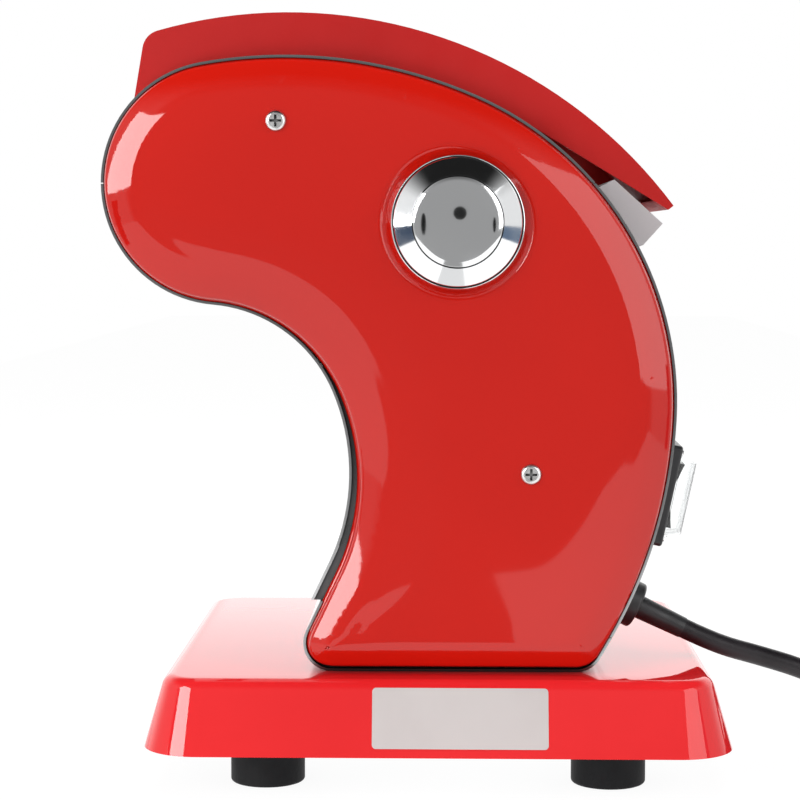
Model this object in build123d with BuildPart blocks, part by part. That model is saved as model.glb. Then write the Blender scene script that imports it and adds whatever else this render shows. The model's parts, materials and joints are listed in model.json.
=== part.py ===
from build123d import *
import math
import os

# Electric pasta maker: a swan-necked machine head on a pressed steel foot.
# Millimetres, +Z up, origin under the middle of the machine on the table.
# +X is the rear (switch and mains lead), -Y is the side with the thickness dial.

# ---- foot ----
FOOT_DIAMETER = 29.0
FOOT_HEIGHT = 17.5
FOOT_SPAN_X = 133.2
FOOT_SPAN_Y = 144.0
PAN_X = 7.8
PAN_LENGTH = 227.0
PAN_WIDTH = 210.0
PAN_OVER_FEET = 1.0
PAN_DEPTH = 28.0
PAN_DRAFT = 16.3
PAN_CORNER = 22.0
PAN_EDGE = 5.0
PAN_WALL = 1.6
PLATE_THICKNESS = 1.2
PLATE_CLEARANCE = 0.3
M4 = 2.0
M5 = 2.5
FAR = 400.0
SCREW_CLEARANCE = 0.2
LABEL_LENGTH = 66.7
LABEL_HEIGHT = 23.0
LABEL_X = 16.5
LABEL_THICKNESS = 0.25
LABEL_MARGIN = 3.3
LABEL_CORNER = 1.5
PAN_BOTTOM = FOOT_HEIGHT - PAN_OVER_FEET
PAN_TOP = PAN_BOTTOM + PAN_DEPTH

# ---- side outline of the head, walked anticlockwise from the rear leg ----
LEG_X = 73.4
LEG_Z = PAN_TOP + 13.5
LEG_HEADING = 60.6
LOWER_BACK = (190.0, 26.8)
UPPER_BACK = (127.0, 69.0)
CROWN = (182.0, 33.5)
NOSE = (45.0, 165.3)
THROAT = (59.0, 62.4)
FRONT = (85.0, 48.5)

# ---- casing ----
COVER_BOTTOM = PAN_TOP + 2.5
COVER_RIM = 77.0
COVER_FACE = 91.0
COVER_WALL = 1.5
COVER_CORNER = 10.0
COVER_EDGE = 9.0
DISH_RADIUS = 30.0
DISH_DEPTH = 2.5
BAND_STAND = 1.6
BAND_THROAT_STAND = 4.2
BAND_SHEET = 1.0
BAND_HALF_WIDTH = 79.0
BAND_CORNER = 11.0
BAND_JOINT = 0.4
LIP_Z = PAN_TOP + 27.5
REAR_JOINT_Z = PAN_TOP + 13.5
CROWN_JOINT_Z = PAN_TOP + 188.5

# ---- frames and gear layers, measured outwards from the middle ----
ROLLER_HALF = 70.0
FRAME_IN = 74.0
FRAME_OUT = 76.5
FRAME_GAP = 0.1
GEAR_1_IN, GEAR_1_OUT = 77.0, 82.5
GEAR_2_IN, GEAR_2_OUT = 83.3, 88.8
RUNNING_FIT = 0.05

# ---- press rollers and their dial ----
DIAL_X, DIAL_Z = 15.3, PAN_TOP + 173.5
PRESS_RADIUS = 17.75
GAP_THIN, GAP_THICK = 0.3, 2.8
DIAL_SWING = 150.0
NIP_HEADING = -45.0
JOURNAL_RADIUS = 6.0
BUSH_WALL = 1.95
ECCENTRIC_RADIUS = 10.5
YOKE_BAR_REACH = 22.6
YOKE_BAR_RADIUS = 3.0
YOKE_BAR_HEADING = 50.0
YOKE_ARM_IN, YOKE_ARM_OUT = 70.75, 73.25
KNOB_RADIUS = 24.5
KNOB_DOME_RADIUS = 16.85
KNOB_REAR = 89.0
KNOB_RIM = 94.5
KNOB_DOME_START = 102.1
KNOB_TOP = 104.5
DIAL_SHAFT_RADIUS = 5.0
INDEX_RADIUS = 16.0
INDEX_STEPS = 11

# ---- cutters and gear train ----
CUTTER_RADIUS = 12.0
CUTTER_CORE = 10.1
CUTTER_JOURNAL = 4.0
CUTTER_CENTRES = 22.4
NARROW_X = -30.0
WIDE_X, WIDE_Z = -78.1, PAN_TOP + 188.5
NARROW_RIBBON = 2.0
WIDE_RIBBON = 6.5
CUTTER_SIDE_PLAY = 0.15
CUTTER_END_PLAY = 0.5
PRESS_GEAR_TEETH, PRESS_GEAR_MODULE = 12, 3.0
WHEEL_TEETH, TRAIN_MODULE = 44, 1.5
IDLER_1_TEETH = 30
IDLER_2_TEETH = 22
CUTTER_TEETH, CUTTER_MODULE = 16, 1.4
COMPOUND_TEETH, MOTOR_MODULE = 38, 1.0
PINION_TEETH = 12
MOTOR_PINION_TEETH = 10
TOOTH_THINNING = 0.15
PRESS_TOOTH_THINNING = 0.8
IDLER_1_HEADING = 160.0
COMPOUND_HEADING = 258.3
MOTOR_HEADING = 281.8

# ---- motor ----
MOTOR_RADIUS = 31.0
MOTOR_WALL = 2.5
MOTOR_REAR = -42.0
MOTOR_SHAFT = 3.0

# ---- hood ----
HOOD_ARC_X, HOOD_ARC_RADIUS = -50.3, 186.0
HOOD_CREST_Z = PAN_TOP + 254.0
HOOD_ARC_Z = HOOD_CREST_Z - HOOD_ARC_RADIUS
HOOD_HALF_WIDTH = 70.0
HOOD_WALL = 2.0
HOOD_SEAT = 0.3
SLOT_WIDTH = 12.0
SLOT_HALF_LENGTH = 62.0
SLOT_REACH = 99.0

# ---- switch, gland, mains lead ----
SWITCH_HEADING = -12.0
SWITCH_Y = 34.0 - BAND_HALF_WIDTH
BEZEL_WIDTH, BEZEL_LENGTH, BEZEL_PROUD = 30.0, 40.5, 4.8
SWITCH_WINDOW = (14.6, 29.2)
SWITCH_CASE = (25.0, 34.0, 20.0)
GLAND_HEADING = -25.7
GLAND_RADIUS = 9.3
GLAND_PROUD = 8.0
RELIEF_LENGTH = 20.0
CORD_RADIUS = 4.0

os.makedirs("parts", exist_ok=True)


def write(piece, name):
    """Label a finished piece and write it to its own file."""
    piece.label = name
    export_step(piece, f"parts/{name}.step")


def side_plane(y):
    """Upright plane across the machine at y; a sketch on it reads x to the right, z up."""
    return Plane.XZ.offset(-y)


def polar(x, z, radius, heading):
    """Point at a heading, in degrees, from a point of the side view."""
    angle = math.radians(heading)
    return (x + radius * math.cos(angle), z + radius * math.sin(angle))


def side_outline(stand=0.0, throat_stand=0.0, bottom=COVER_BOTTOM, corner=COVER_CORNER):
    """The machine's side outline, pushed out by stand, or by throat_stand where it is hollow."""
    rise = math.radians(LEG_HEADING)
    leg_top = (LEG_X + stand * math.sin(rise), LEG_Z - stand * math.cos(rise))
    leg_run = (leg_top[1] - bottom) / math.tan(rise)
    end_heading = LEG_HEADING + LOWER_BACK[1] + UPPER_BACK[1] + CROWN[1] + NOSE[1] - THROAT[1] - FRONT[1]
    with BuildSketch() as outline:
        with BuildLine():
            leg = Line((leg_top[0] - leg_run, bottom), leg_top)
            lower_back = JernArc(leg @ 1, leg % 1, LOWER_BACK[0] + stand, LOWER_BACK[1])
            upper_back = JernArc(lower_back @ 1, lower_back % 1, UPPER_BACK[0] + stand, UPPER_BACK[1])
            crown = JernArc(upper_back @ 1, upper_back % 1, CROWN[0] + stand, CROWN[1])
            nose = JernArc(crown @ 1, crown % 1, NOSE[0] + stand, NOSE[1])
            throat = JernArc(nose @ 1, nose % 1, THROAT[0] - throat_stand, -THROAT[1])
            front = JernArc(throat @ 1, throat % 1, FRONT[0] - throat_stand, -FRONT[1])
            drop = (front @ 1).Y - bottom
            shin_run = drop / math.tan(math.radians(end_heading))
            shin = Line(front @ 1, ((front @ 1).X - shin_run, bottom))
            Line(shin @ 1, leg @ 0)
        make_face()
        fillet(outline.vertices().group_by(Axis.Y)[0], corner)
    return outline.sketch


def arc_centre():
    """Centre of the lower back arc, which carries the switch and the gland."""
    return polar(LEG_X, LEG_Z, LOWER_BACK[0], LEG_HEADING + 90.0)


def upper_arc_centre():
    """Centre of the upper back arc, which carries the hood bracket."""
    low_x, low_z = arc_centre()
    joint = LEG_HEADING - 90.0 + LOWER_BACK[1]
    return polar(low_x, low_z, LOWER_BACK[0] - UPPER_BACK[0], joint)


def band_plane(heading, y):
    """Plane on the band's outer face at a heading of the lower back, facing outwards."""
    centre_x, centre_z = arc_centre()
    x, z = polar(centre_x, centre_z, LOWER_BACK[0] + BAND_STAND, heading)
    angle = math.radians(heading)
    return Plane(origin=(x, y, z), x_dir=(0, 1, 0), z_dir=(math.cos(angle), 0, math.sin(angle)))


# ---- where the shafts are, all in the side view ----
DIAL = (DIAL_X, DIAL_Z)
ECCENTRICITY = (GAP_THICK - GAP_THIN) / (2 * math.sin(math.radians(DIAL_SWING / 2)))
FIXED_DISTANCE = 2 * PRESS_RADIUS + (GAP_THICK + GAP_THIN) / 2
FIXED = polar(*DIAL, FIXED_DISTANCE, NIP_HEADING)
REST_HEADING = NIP_HEADING + 180.0 + (180.0 - DIAL_SWING) / 2
ADJUSTABLE = polar(*DIAL, ECCENTRICITY, REST_HEADING)
NIP = polar(*FIXED, PRESS_RADIUS + GAP_THICK / 4, NIP_HEADING + 180.0)
IDLER_1 = polar(*FIXED, (WHEEL_TEETH + IDLER_1_TEETH) * TRAIN_MODULE / 2, IDLER_1_HEADING)
COMPOUND = polar(*FIXED, (WHEEL_TEETH + PINION_TEETH) * TRAIN_MODULE / 2, COMPOUND_HEADING)
MOTOR = polar(*COMPOUND, (COMPOUND_TEETH + MOTOR_PINION_TEETH) * MOTOR_MODULE / 2, MOTOR_HEADING)


def third_corner(first, second, first_reach, second_reach, side):
    """Point at two given distances from two points, on the left (+1) or right (-1) of their line."""
    dx, dz = second[0] - first[0], second[1] - first[1]
    span = math.hypot(dx, dz)
    along = (first_reach ** 2 - second_reach ** 2 + span ** 2) / (2 * span)
    across = side * math.sqrt(first_reach ** 2 - along ** 2)
    return (first[0] + (along * dx - across * dz) / span, first[1] + (along * dz + across * dx) / span)


def centres(teeth_1, teeth_2, module):
    """Distance between the centres of two meshed gears."""
    return (teeth_1 + teeth_2) * module / 2


IDLER_1_REACH = centres(IDLER_1_TEETH, CUTTER_TEETH, TRAIN_MODULE)
NARROW_RIGHT = (NARROW_X, IDLER_1[1] + math.sqrt(IDLER_1_REACH ** 2 - (NARROW_X - IDLER_1[0]) ** 2))
NARROW_LEFT = (NARROW_RIGHT[0] - CUTTER_CENTRES, NARROW_RIGHT[1])
WIDE_RIGHT = (WIDE_X, WIDE_Z)
WIDE_LEFT = (WIDE_RIGHT[0] - CUTTER_CENTRES, WIDE_RIGHT[1])
IDLER_2_REACH = centres(IDLER_2_TEETH, CUTTER_TEETH, TRAIN_MODULE)
IDLER_2 = third_corner(WIDE_RIGHT, NARROW_RIGHT, IDLER_2_REACH, IDLER_2_REACH, -1)
NARROW_NIP_X = (NARROW_RIGHT[0] + NARROW_LEFT[0]) / 2
WIDE_NIP_X = (WIDE_RIGHT[0] + WIDE_LEFT[0]) / 2

TIE_RODS = [(-70.0, PAN_TOP + 213.5), (-20.0, PAN_TOP + 160.5), (72.0, PAN_TOP + 105.5),
            (-10.0, PAN_TOP + 40.5)]
MOUNT_BAR_X = [-22.0, 50.0]
MOUNT_BAR_SIZE = 12.0
MOUNT_BAR_HEIGHT = 14.0
BAR_SCREW_RISE = 9.0
MOUNT_SCREW_Y = 45.0
KNOB_SIDE_SCREWS = [(-53.2, PAN_TOP + 211.5), (43.2, PAN_TOP + 78.3)]
GEAR_SIDE_SCREWS = [(-10.0, PAN_TOP + 213.5), (45.0, PAN_TOP + 40.5)]
MOTOR_SCREW_HEADINGS = [200.0, 340.0, 270.0]
MOTOR_SCREW_REACH = 22.0
MOTOR_PILOT = 8.0
STUD_SPIGOT = 3.0
SWITCH_PLANE = band_plane(SWITCH_HEADING, SWITCH_Y)
GLAND_PLANE = band_plane(GLAND_HEADING, SWITCH_Y)


def rod(radius, y_near, y_far, *spots):
    """Round bars along Y at points of the side view, added to the open part."""
    with BuildSketch(side_plane(y_far)) as section:
        with Locations(*spots):
            Circle(radius)
    extrude(section.sketch, amount=y_far - y_near)


def bore(radius, y_near, y_far, *spots):
    """Round holes along Y at points of the side view, cut from the open part."""
    with BuildSketch(side_plane(y_far)) as section:
        with Locations(*spots):
            Circle(radius)
    extrude(section.sketch, amount=y_far - y_near, mode=Mode.SUBTRACT)


def slot_at(x, z, heading):
    """A flat passage through the machine, for dough, along a heading of the side view."""
    angle = math.radians(heading)
    way = Plane(origin=(x, 0, z), x_dir=(0, 1, 0), z_dir=(math.cos(angle), 0, math.sin(angle)))
    with BuildSketch(way) as section:
        Rectangle(2 * SLOT_HALF_LENGTH, SLOT_WIDTH)
    extrude(section.sketch, amount=SLOT_REACH, mode=Mode.SUBTRACT)


# ==== foot: pressed pan, bottom plate, rubber feet ====
FOOT_SPOTS = GridLocations(FOOT_SPAN_X, FOOT_SPAN_Y, 2, 2)
FOOT_POINTS = [(PAN_X + spot.position.X, spot.position.Y) for spot in FOOT_SPOTS]
MOUNT_POINTS = [(x, y) for x in MOUNT_BAR_X for y in (-MOUNT_SCREW_Y, MOUNT_SCREW_Y)]

with BuildPart() as base_pan:
    with BuildSketch(Plane.XY.offset(PAN_BOTTOM)):
        with Locations((PAN_X, 0)):
            RectangleRounded(PAN_LENGTH, PAN_WIDTH, PAN_CORNER)
    extrude(amount=PAN_DEPTH, taper=PAN_DRAFT)
    fillet(base_pan.faces().sort_by(Axis.Z)[-1].edges(), PAN_EDGE)
    offset(amount=-PAN_WALL, openings=base_pan.faces().sort_by(Axis.Z)[0])
    with Locations(*[(x, y, PAN_TOP) for x, y in MOUNT_POINTS]):
        Hole(M5 + SCREW_CLEARANCE, 2 * PAN_WALL)
write(base_pan.part, "base_pan")

PLATE_BOTTOM = FOOT_HEIGHT
PLATE_TOP = PLATE_BOTTOM + PLATE_THICKNESS
plate_inset = (PLATE_TOP - PAN_BOTTOM) * math.tan(math.radians(PAN_DRAFT))
plate_inset += PAN_WALL / math.cos(math.radians(PAN_DRAFT)) + PLATE_CLEARANCE
with BuildPart() as base_plate:
    with BuildSketch(Plane.XY.offset(PLATE_BOTTOM)):
        with Locations((PAN_X, 0)):
            plate_size = (PAN_LENGTH - 2 * plate_inset, PAN_WIDTH - 2 * plate_inset)
            RectangleRounded(*plate_size, PAN_CORNER - plate_inset)
    extrude(amount=PLATE_THICKNESS)
    with Locations(*[(x, y, PLATE_TOP) for x, y in FOOT_POINTS]):
        Hole(M4 + SCREW_CLEARANCE, PLATE_THICKNESS)
write(base_plate.part, "base_plate")

FOOT_SEAT = 5.0
FOOT_EDGE = 1.2
FOOT_SCREW_HEAD = 2.6
HEAD_CLEARANCE = 0.6
FOOT_POST_RADIUS = 4.5
FOOT_SCREW_REACH = 12.5
FOOT_SCREW_TOP = FOOT_HEIGHT + FOOT_SCREW_REACH
with BuildPart() as rubber_feet:
    with BuildSketch():
        with Locations(*FOOT_POINTS):
            Circle(FOOT_DIAMETER / 2)
    extrude(amount=FOOT_HEIGHT)
    fillet(rubber_feet.edges().group_by(Axis.Z)[0], FOOT_EDGE)
    with Locations(*[(x, y, 0) for x, y in FOOT_POINTS]):
        with Locations(Rotation(180, 0, 0)):
            CounterBoreHole(M4 + SCREW_CLEARANCE, 2 * M4 + HEAD_CLEARANCE, FOOT_SEAT, FOOT_HEIGHT)
write(rubber_feet.part, "rubber_feet")

with BuildPart() as foot_screws:
    with BuildSketch(Plane.XY.offset(FOOT_SEAT)):
        with Locations(*FOOT_POINTS):
            Circle(M4)
    extrude(amount=FOOT_SCREW_TOP - FOOT_SEAT)
    with BuildSketch(Plane.XY.offset(FOOT_SEAT)):
        with Locations(*FOOT_POINTS):
            Circle(2 * M4)
    extrude(amount=-FOOT_SCREW_HEAD)
write(foot_screws.part, "foot_screws")

with BuildPart() as foot_posts:
    with BuildSketch(Plane.XY.offset(PLATE_TOP)):
        with Locations(*FOOT_POINTS):
            Circle(FOOT_POST_RADIUS)
            Circle(M4, mode=Mode.SUBTRACT)
    extrude(amount=PAN_TOP - PAN_WALL - PLATE_TOP)
write(foot_posts.part, "foot_posts")

# ---- square bars that hold the head to the pan ----
BAND_FLOOR = PAN_TOP + BAND_SHEET
TAPPED_DEPTH = 12.0
BODY_SCREW_LENGTH = 11.0
BODY_SCREW_HEAD = 3.2
with BuildPart() as mount_bars:
    with BuildSketch(side_plane(FRAME_IN)):
        with Locations(*[(x, BAND_FLOOR + MOUNT_BAR_HEIGHT / 2) for x in MOUNT_BAR_X]):
            Rectangle(MOUNT_BAR_SIZE, MOUNT_BAR_HEIGHT)
    extrude(amount=2 * FRAME_IN)
    with BuildSketch(Plane.XY.offset(BAND_FLOOR)):
        with Locations(*MOUNT_POINTS):
            Circle(M5)
    extrude(amount=MOUNT_BAR_HEIGHT, mode=Mode.SUBTRACT)
    bar_ends = [(x, BAND_FLOOR + BAR_SCREW_RISE) for x in MOUNT_BAR_X]
    bore(M4, FRAME_IN - TAPPED_DEPTH, FRAME_IN, *bar_ends)
    bore(M4, -FRAME_IN, -FRAME_IN + TAPPED_DEPTH, *bar_ends)
write(mount_bars.part, "mount_bars")

with BuildPart() as body_mount_screws:
    with BuildSketch(Plane.XY.offset(PAN_TOP - PAN_WALL)):
        with Locations(*MOUNT_POINTS):
            Circle(M5)
    extrude(amount=BODY_SCREW_LENGTH)
    with BuildSketch(Plane.XY.offset(PAN_TOP - PAN_WALL)):
        with Locations(*MOUNT_POINTS):
            Circle(2 * M5)
    extrude(amount=-BODY_SCREW_HEAD)
write(body_mount_screws.part, "body_mount_screws")

skirt_lean = math.radians(PAN_DRAFT)
label_rise = LABEL_HEIGHT * math.cos(skirt_lean) / 2 + LABEL_MARGIN
label_y = -(PAN_WIDTH / 2 - label_rise * math.tan(skirt_lean))
with BuildPart() as base_label:
    front_skirt = Plane(origin=(LABEL_X, label_y, PAN_BOTTOM + label_rise), x_dir=(1, 0, 0),
                        z_dir=(0, -math.cos(skirt_lean), math.sin(skirt_lean)))
    with BuildSketch(front_skirt):
        RectangleRounded(LABEL_LENGTH, LABEL_HEIGHT, LABEL_CORNER)
    extrude(amount=LABEL_THICKNESS)
write(base_label.part, "base_label")

# ==== side frames, tie rods and their screws ====
FRAME_STAND = BAND_STAND - BAND_SHEET - FRAME_GAP
FRAME_THROAT_STAND = BAND_THROAT_STAND - BAND_SHEET - FRAME_GAP
BUSH_OUTER = JOURNAL_RADIUS + RUNNING_FIT + BUSH_WALL
CUTTER_BUSH_OUTER = CUTTER_JOURNAL + BUSH_WALL
CUTTER_SHAFTS = [NARROW_RIGHT, NARROW_LEFT, WIDE_RIGHT, WIDE_LEFT]
MOTOR_SCREWS = [polar(*MOTOR, MOTOR_SCREW_REACH, heading) for heading in MOTOR_SCREW_HEADINGS]


def frame_outline():
    """Side outline of a frame: it fills the band, and steps back where the bottom panel stands."""
    with BuildSketch() as outline:
        add(side_outline(FRAME_STAND, FRAME_THROAT_STAND, BAND_FLOOR, BAND_CORNER - 1))
        with BuildSketch(mode=Mode.PRIVATE) as waste:
            with Locations((0, LIP_Z)):
                Rectangle(FAR, FAR, align=(Align.CENTER, Align.MAX))
            add(side_outline(FRAME_STAND, FRAME_STAND, BAND_FLOOR, BAND_CORNER - 1), mode=Mode.SUBTRACT)
        add(waste.sketch, mode=Mode.SUBTRACT)
    return outline.sketch


def frame_plate(y_near, y_far, standoff_spots):
    """One steel side frame with the holes that both sides share."""
    with BuildPart() as plate:
        with BuildSketch(side_plane(y_far)):
            add(frame_outline())
        extrude(amount=y_far - y_near)
        bore(BUSH_OUTER, y_near, y_far, FIXED)
        bore(ECCENTRIC_RADIUS + RUNNING_FIT, y_near, y_far, DIAL)
        bore(CUTTER_BUSH_OUTER, y_near, y_far, *CUTTER_SHAFTS)
        bore(M4, y_near, y_far, *TIE_RODS, *bar_ends)
        bore(M5, y_near, y_far, *standoff_spots)
    return plate


write(frame_plate(-FRAME_OUT, -FRAME_IN, KNOB_SIDE_SCREWS).part, "knob_side_frame")
with BuildPart() as gear_side_frame:
    add(frame_plate(FRAME_IN, FRAME_OUT, GEAR_SIDE_SCREWS).part)
    bore(MOTOR_PILOT, FRAME_IN, FRAME_OUT, MOTOR)
    bore(M4, FRAME_IN, FRAME_OUT, *MOTOR_SCREWS)
    bore(STUD_SPIGOT, FRAME_IN, FRAME_OUT, IDLER_1, IDLER_2, COMPOUND)
write(gear_side_frame.part, "gear_side_frame")

TIE_ROD_RADIUS = 4.0
with BuildPart() as tie_rods:
    rod(TIE_ROD_RADIUS, -FRAME_IN, FRAME_IN, *TIE_RODS)
    bore(M4, FRAME_IN - TAPPED_DEPTH, FRAME_IN, *TIE_RODS)
    bore(M4, -FRAME_IN, -FRAME_IN + TAPPED_DEPTH, *TIE_RODS)
write(tie_rods.part, "tie_rods")

FRAME_SCREW_BITE = 10.0
MOTOR_SCREW_BITE = 3.0
FRAME_SCREW_HEAD = 2.2
with BuildPart() as frame_screws:
    rod(M4, FRAME_IN - FRAME_SCREW_BITE, FRAME_OUT, *TIE_RODS, *bar_ends)
    rod(M4, FRAME_IN - MOTOR_SCREW_BITE, FRAME_OUT, *MOTOR_SCREWS)
    rod(2 * M4, FRAME_OUT, FRAME_OUT + FRAME_SCREW_HEAD, *TIE_RODS, *bar_ends, *MOTOR_SCREWS)
    rod(M4, -FRAME_OUT, -FRAME_IN + FRAME_SCREW_BITE, *TIE_RODS, *bar_ends)
    rod(2 * M4, -FRAME_OUT - FRAME_SCREW_HEAD, -FRAME_OUT, *TIE_RODS, *bar_ends)
write(frame_screws.part, "frame_screws")

# ==== stainless band round the head, in four panels ====
NIP_LINE = NIP_HEADING - 90.0
NIP_LINE_UP = NIP_LINE + 180.0


def band_ring(throat_stand):
    """The whole band as one closed strip; each panel is cut from it."""
    with BuildPart() as ring:
        with BuildSketch(Plane.XZ):
            add(side_outline(BAND_STAND, throat_stand, PAN_TOP, BAND_CORNER))
            inner_stands = (BAND_STAND - BAND_SHEET, throat_stand - BAND_SHEET)
            add(side_outline(*inner_stands, BAND_FLOOR, BAND_CORNER - 1), mode=Mode.SUBTRACT)
        extrude(amount=BAND_HALF_WIDTH, both=True)
    return ring


def keep_window(x_low, x_high, z_low, z_high):
    """Keep only what lies between two distances back and two heights."""
    with BuildSketch(Plane.XZ) as window:
        with Locations(((x_low + x_high) / 2, (z_low + z_high) / 2)):
            Rectangle(x_high - x_low, z_high - z_low)
    extrude(window.sketch, amount=2 * BAND_HALF_WIDTH, both=True, mode=Mode.INTERSECT)


BRACKET_HEADING = 35.0
BRACKET_RIVET_STEP = 4.0
BRACKET_RIVET_Y = 61.0
RIVET_RADIUS = 1.5
back_x, back_z = upper_arc_centre()
RIVET_HEADINGS = [BRACKET_HEADING - BRACKET_RIVET_STEP, BRACKET_HEADING + BRACKET_RIVET_STEP]


def rivet_planes():
    """Planes on the band's outer face where the bracket is riveted."""
    for heading in RIVET_HEADINGS:
        x, z = polar(back_x, back_z, UPPER_BACK[0] + BAND_STAND, heading)
        angle = math.radians(heading)
        for y in (-BRACKET_RIVET_Y, BRACKET_RIVET_Y):
            yield Plane(origin=(x, y, z), x_dir=(0, 1, 0), z_dir=(math.cos(angle), 0, math.sin(angle)))


def rivet_holes():
    """Holes for the bracket's rivets, cut from the open part."""
    for plane in rivet_planes():
        with BuildSketch(plane) as section:
            Circle(RIVET_RADIUS)
        extrude(section.sketch, amount=5, both=True, mode=Mode.SUBTRACT)


REAR_PANEL_FROM = 20.0
with BuildPart() as top_band:
    add(band_ring(BAND_THROAT_STAND).part)
    keep_window(-FAR, FAR, CROWN_JOINT_Z + BAND_JOINT / 2, FAR)
    slot_at(NARROW_NIP_X, NARROW_RIGHT[1], 90.0)
    slot_at(WIDE_NIP_X, WIDE_RIGHT[1], 90.0)
    slot_at(*NIP, NIP_LINE_UP)
write(top_band.part, "top_band")

with BuildPart() as front_band:
    add(band_ring(BAND_THROAT_STAND).part)
    keep_window(-FAR, 0, LIP_Z + BAND_JOINT / 2, CROWN_JOINT_Z - BAND_JOINT / 2)
    slot_at(NARROW_NIP_X, NARROW_RIGHT[1], 270.0)
    slot_at(WIDE_NIP_X, WIDE_RIGHT[1], 270.0)
    slot_at(*NIP, NIP_LINE)
write(front_band.part, "front_band")

with BuildPart() as rear_band:
    add(band_ring(BAND_THROAT_STAND).part)
    keep_window(REAR_PANEL_FROM, FAR, REAR_JOINT_Z + BAND_JOINT / 2, CROWN_JOINT_Z - BAND_JOINT / 2)
    rivet_holes()
    with BuildSketch(SWITCH_PLANE):
        Rectangle(SWITCH_CASE[0], SWITCH_CASE[1])
    extrude(amount=5, both=True, mode=Mode.SUBTRACT)
    with BuildSketch(GLAND_PLANE):
        Circle(CORD_RADIUS + 2.5)
    extrude(amount=5, both=True, mode=Mode.SUBTRACT)
write(rear_band.part, "rear_band")

with BuildPart() as bottom_band:
    add(band_ring(BAND_STAND).part)
    with BuildSketch(Plane.XZ):
        with Locations((0, REAR_JOINT_Z - BAND_JOINT / 2)):
            Rectangle(FAR, FAR, align=(Align.CENTER, Align.MAX))
        with Locations((0, LIP_Z - BAND_JOINT / 2)):
            Rectangle(FAR, FAR, align=(Align.MAX, Align.MAX))
    extrude(amount=2 * BAND_HALF_WIDTH, both=True, mode=Mode.INTERSECT)
    with Locations(*[(x, y, BAND_FLOOR) for x, y in MOUNT_POINTS]):
        Hole(M5 + SCREW_CLEARANCE, 2)
write(bottom_band.part, "bottom_band")


# ==== enamelled side covers ====
def cover_shell():
    """A domed side cover for the dial side, open towards the frame."""
    with BuildPart() as hollow:
        with BuildSketch(side_plane(-COVER_RIM)):
            add(side_outline(-COVER_WALL, -COVER_WALL, COVER_BOTTOM + COVER_WALL, COVER_CORNER - COVER_WALL))
        extrude(amount=COVER_FACE - COVER_WALL - COVER_RIM)
        fillet(hollow.faces().sort_by(Axis.Y)[0].edges(), COVER_EDGE - COVER_WALL)
    with BuildPart() as shell:
        with BuildSketch(side_plane(-COVER_RIM)):
            add(side_outline())
        extrude(amount=COVER_FACE - COVER_RIM)
        fillet(shell.faces().sort_by(Axis.Y)[0].edges(), COVER_EDGE)
        add(hollow.part, mode=Mode.SUBTRACT)
    return shell.part


shell = cover_shell()
COVER_INSIDE = COVER_FACE - COVER_WALL
DISH_FLOOR = COVER_FACE - DISH_DEPTH
with BuildPart() as knob_side_cover:
    add(shell)
    rod(DISH_RADIUS + COVER_WALL, -COVER_FACE, -DISH_FLOOR + COVER_WALL, DIAL)
    bore(DISH_RADIUS, -COVER_FACE, -DISH_FLOOR, DIAL)
    bore(DIAL_SHAFT_RADIUS + 2, -COVER_FACE, -COVER_RIM, DIAL)
    bore(M4 + SCREW_CLEARANCE, -COVER_FACE, -COVER_RIM, *KNOB_SIDE_SCREWS)
write(knob_side_cover.part, "knob_side_cover")

with BuildPart() as gear_side_cover:
    add(shell.mirror(Plane.XZ))
    bore(M4 + SCREW_CLEARANCE, COVER_RIM, COVER_FACE, *GEAR_SIDE_SCREWS)
write(gear_side_cover.part, "gear_side_cover")

SCREW_HEAD = 3.9
SCREW_HEAD_HEIGHT = 2.3
with BuildPart() as cover_standoffs:
    rod(4.0, -COVER_INSIDE, -FRAME_OUT, *KNOB_SIDE_SCREWS)
    rod(M5, -FRAME_OUT, -FRAME_IN, *KNOB_SIDE_SCREWS)
    rod(4.0, FRAME_OUT, COVER_INSIDE, *GEAR_SIDE_SCREWS)
    rod(M5, FRAME_IN, FRAME_OUT, *GEAR_SIDE_SCREWS)
    bore(M4, -COVER_INSIDE, -COVER_INSIDE + 9, *KNOB_SIDE_SCREWS)
    bore(M4, COVER_INSIDE - 9, COVER_INSIDE, *GEAR_SIDE_SCREWS)
write(cover_standoffs.part, "cover_standoffs")

with BuildPart() as cover_screws:
    for side, spots in ((-1, KNOB_SIDE_SCREWS), (1, GEAR_SIDE_SCREWS)):
        face, tip = side * COVER_FACE, side * (COVER_INSIDE - 7)
        head = side * (COVER_FACE + SCREW_HEAD_HEIGHT)
        rod(M4, min(face, tip), max(face, tip), *spots)
        rod(SCREW_HEAD, min(face, head), max(face, head), *spots)
    heads = cover_screws.faces().filter_by(Axis.Y).sort_by(Axis.Y)
    fillet([face.edges()[0] for face in (*heads[:2], *heads[-2:])], 1.4)
    for side, spots in ((-1, KNOB_SIDE_SCREWS), (1, GEAR_SIDE_SCREWS)):
        recess = side * (COVER_FACE + SCREW_HEAD_HEIGHT)
        with BuildSketch(side_plane(max(recess, recess - side * 1.2))):
            with Locations(*spots):
                Rectangle(4.4, 0.9)
                Rectangle(0.9, 4.4)
        extrude(amount=1.2, mode=Mode.SUBTRACT)
write(cover_screws.part, "cover_screws")

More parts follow.
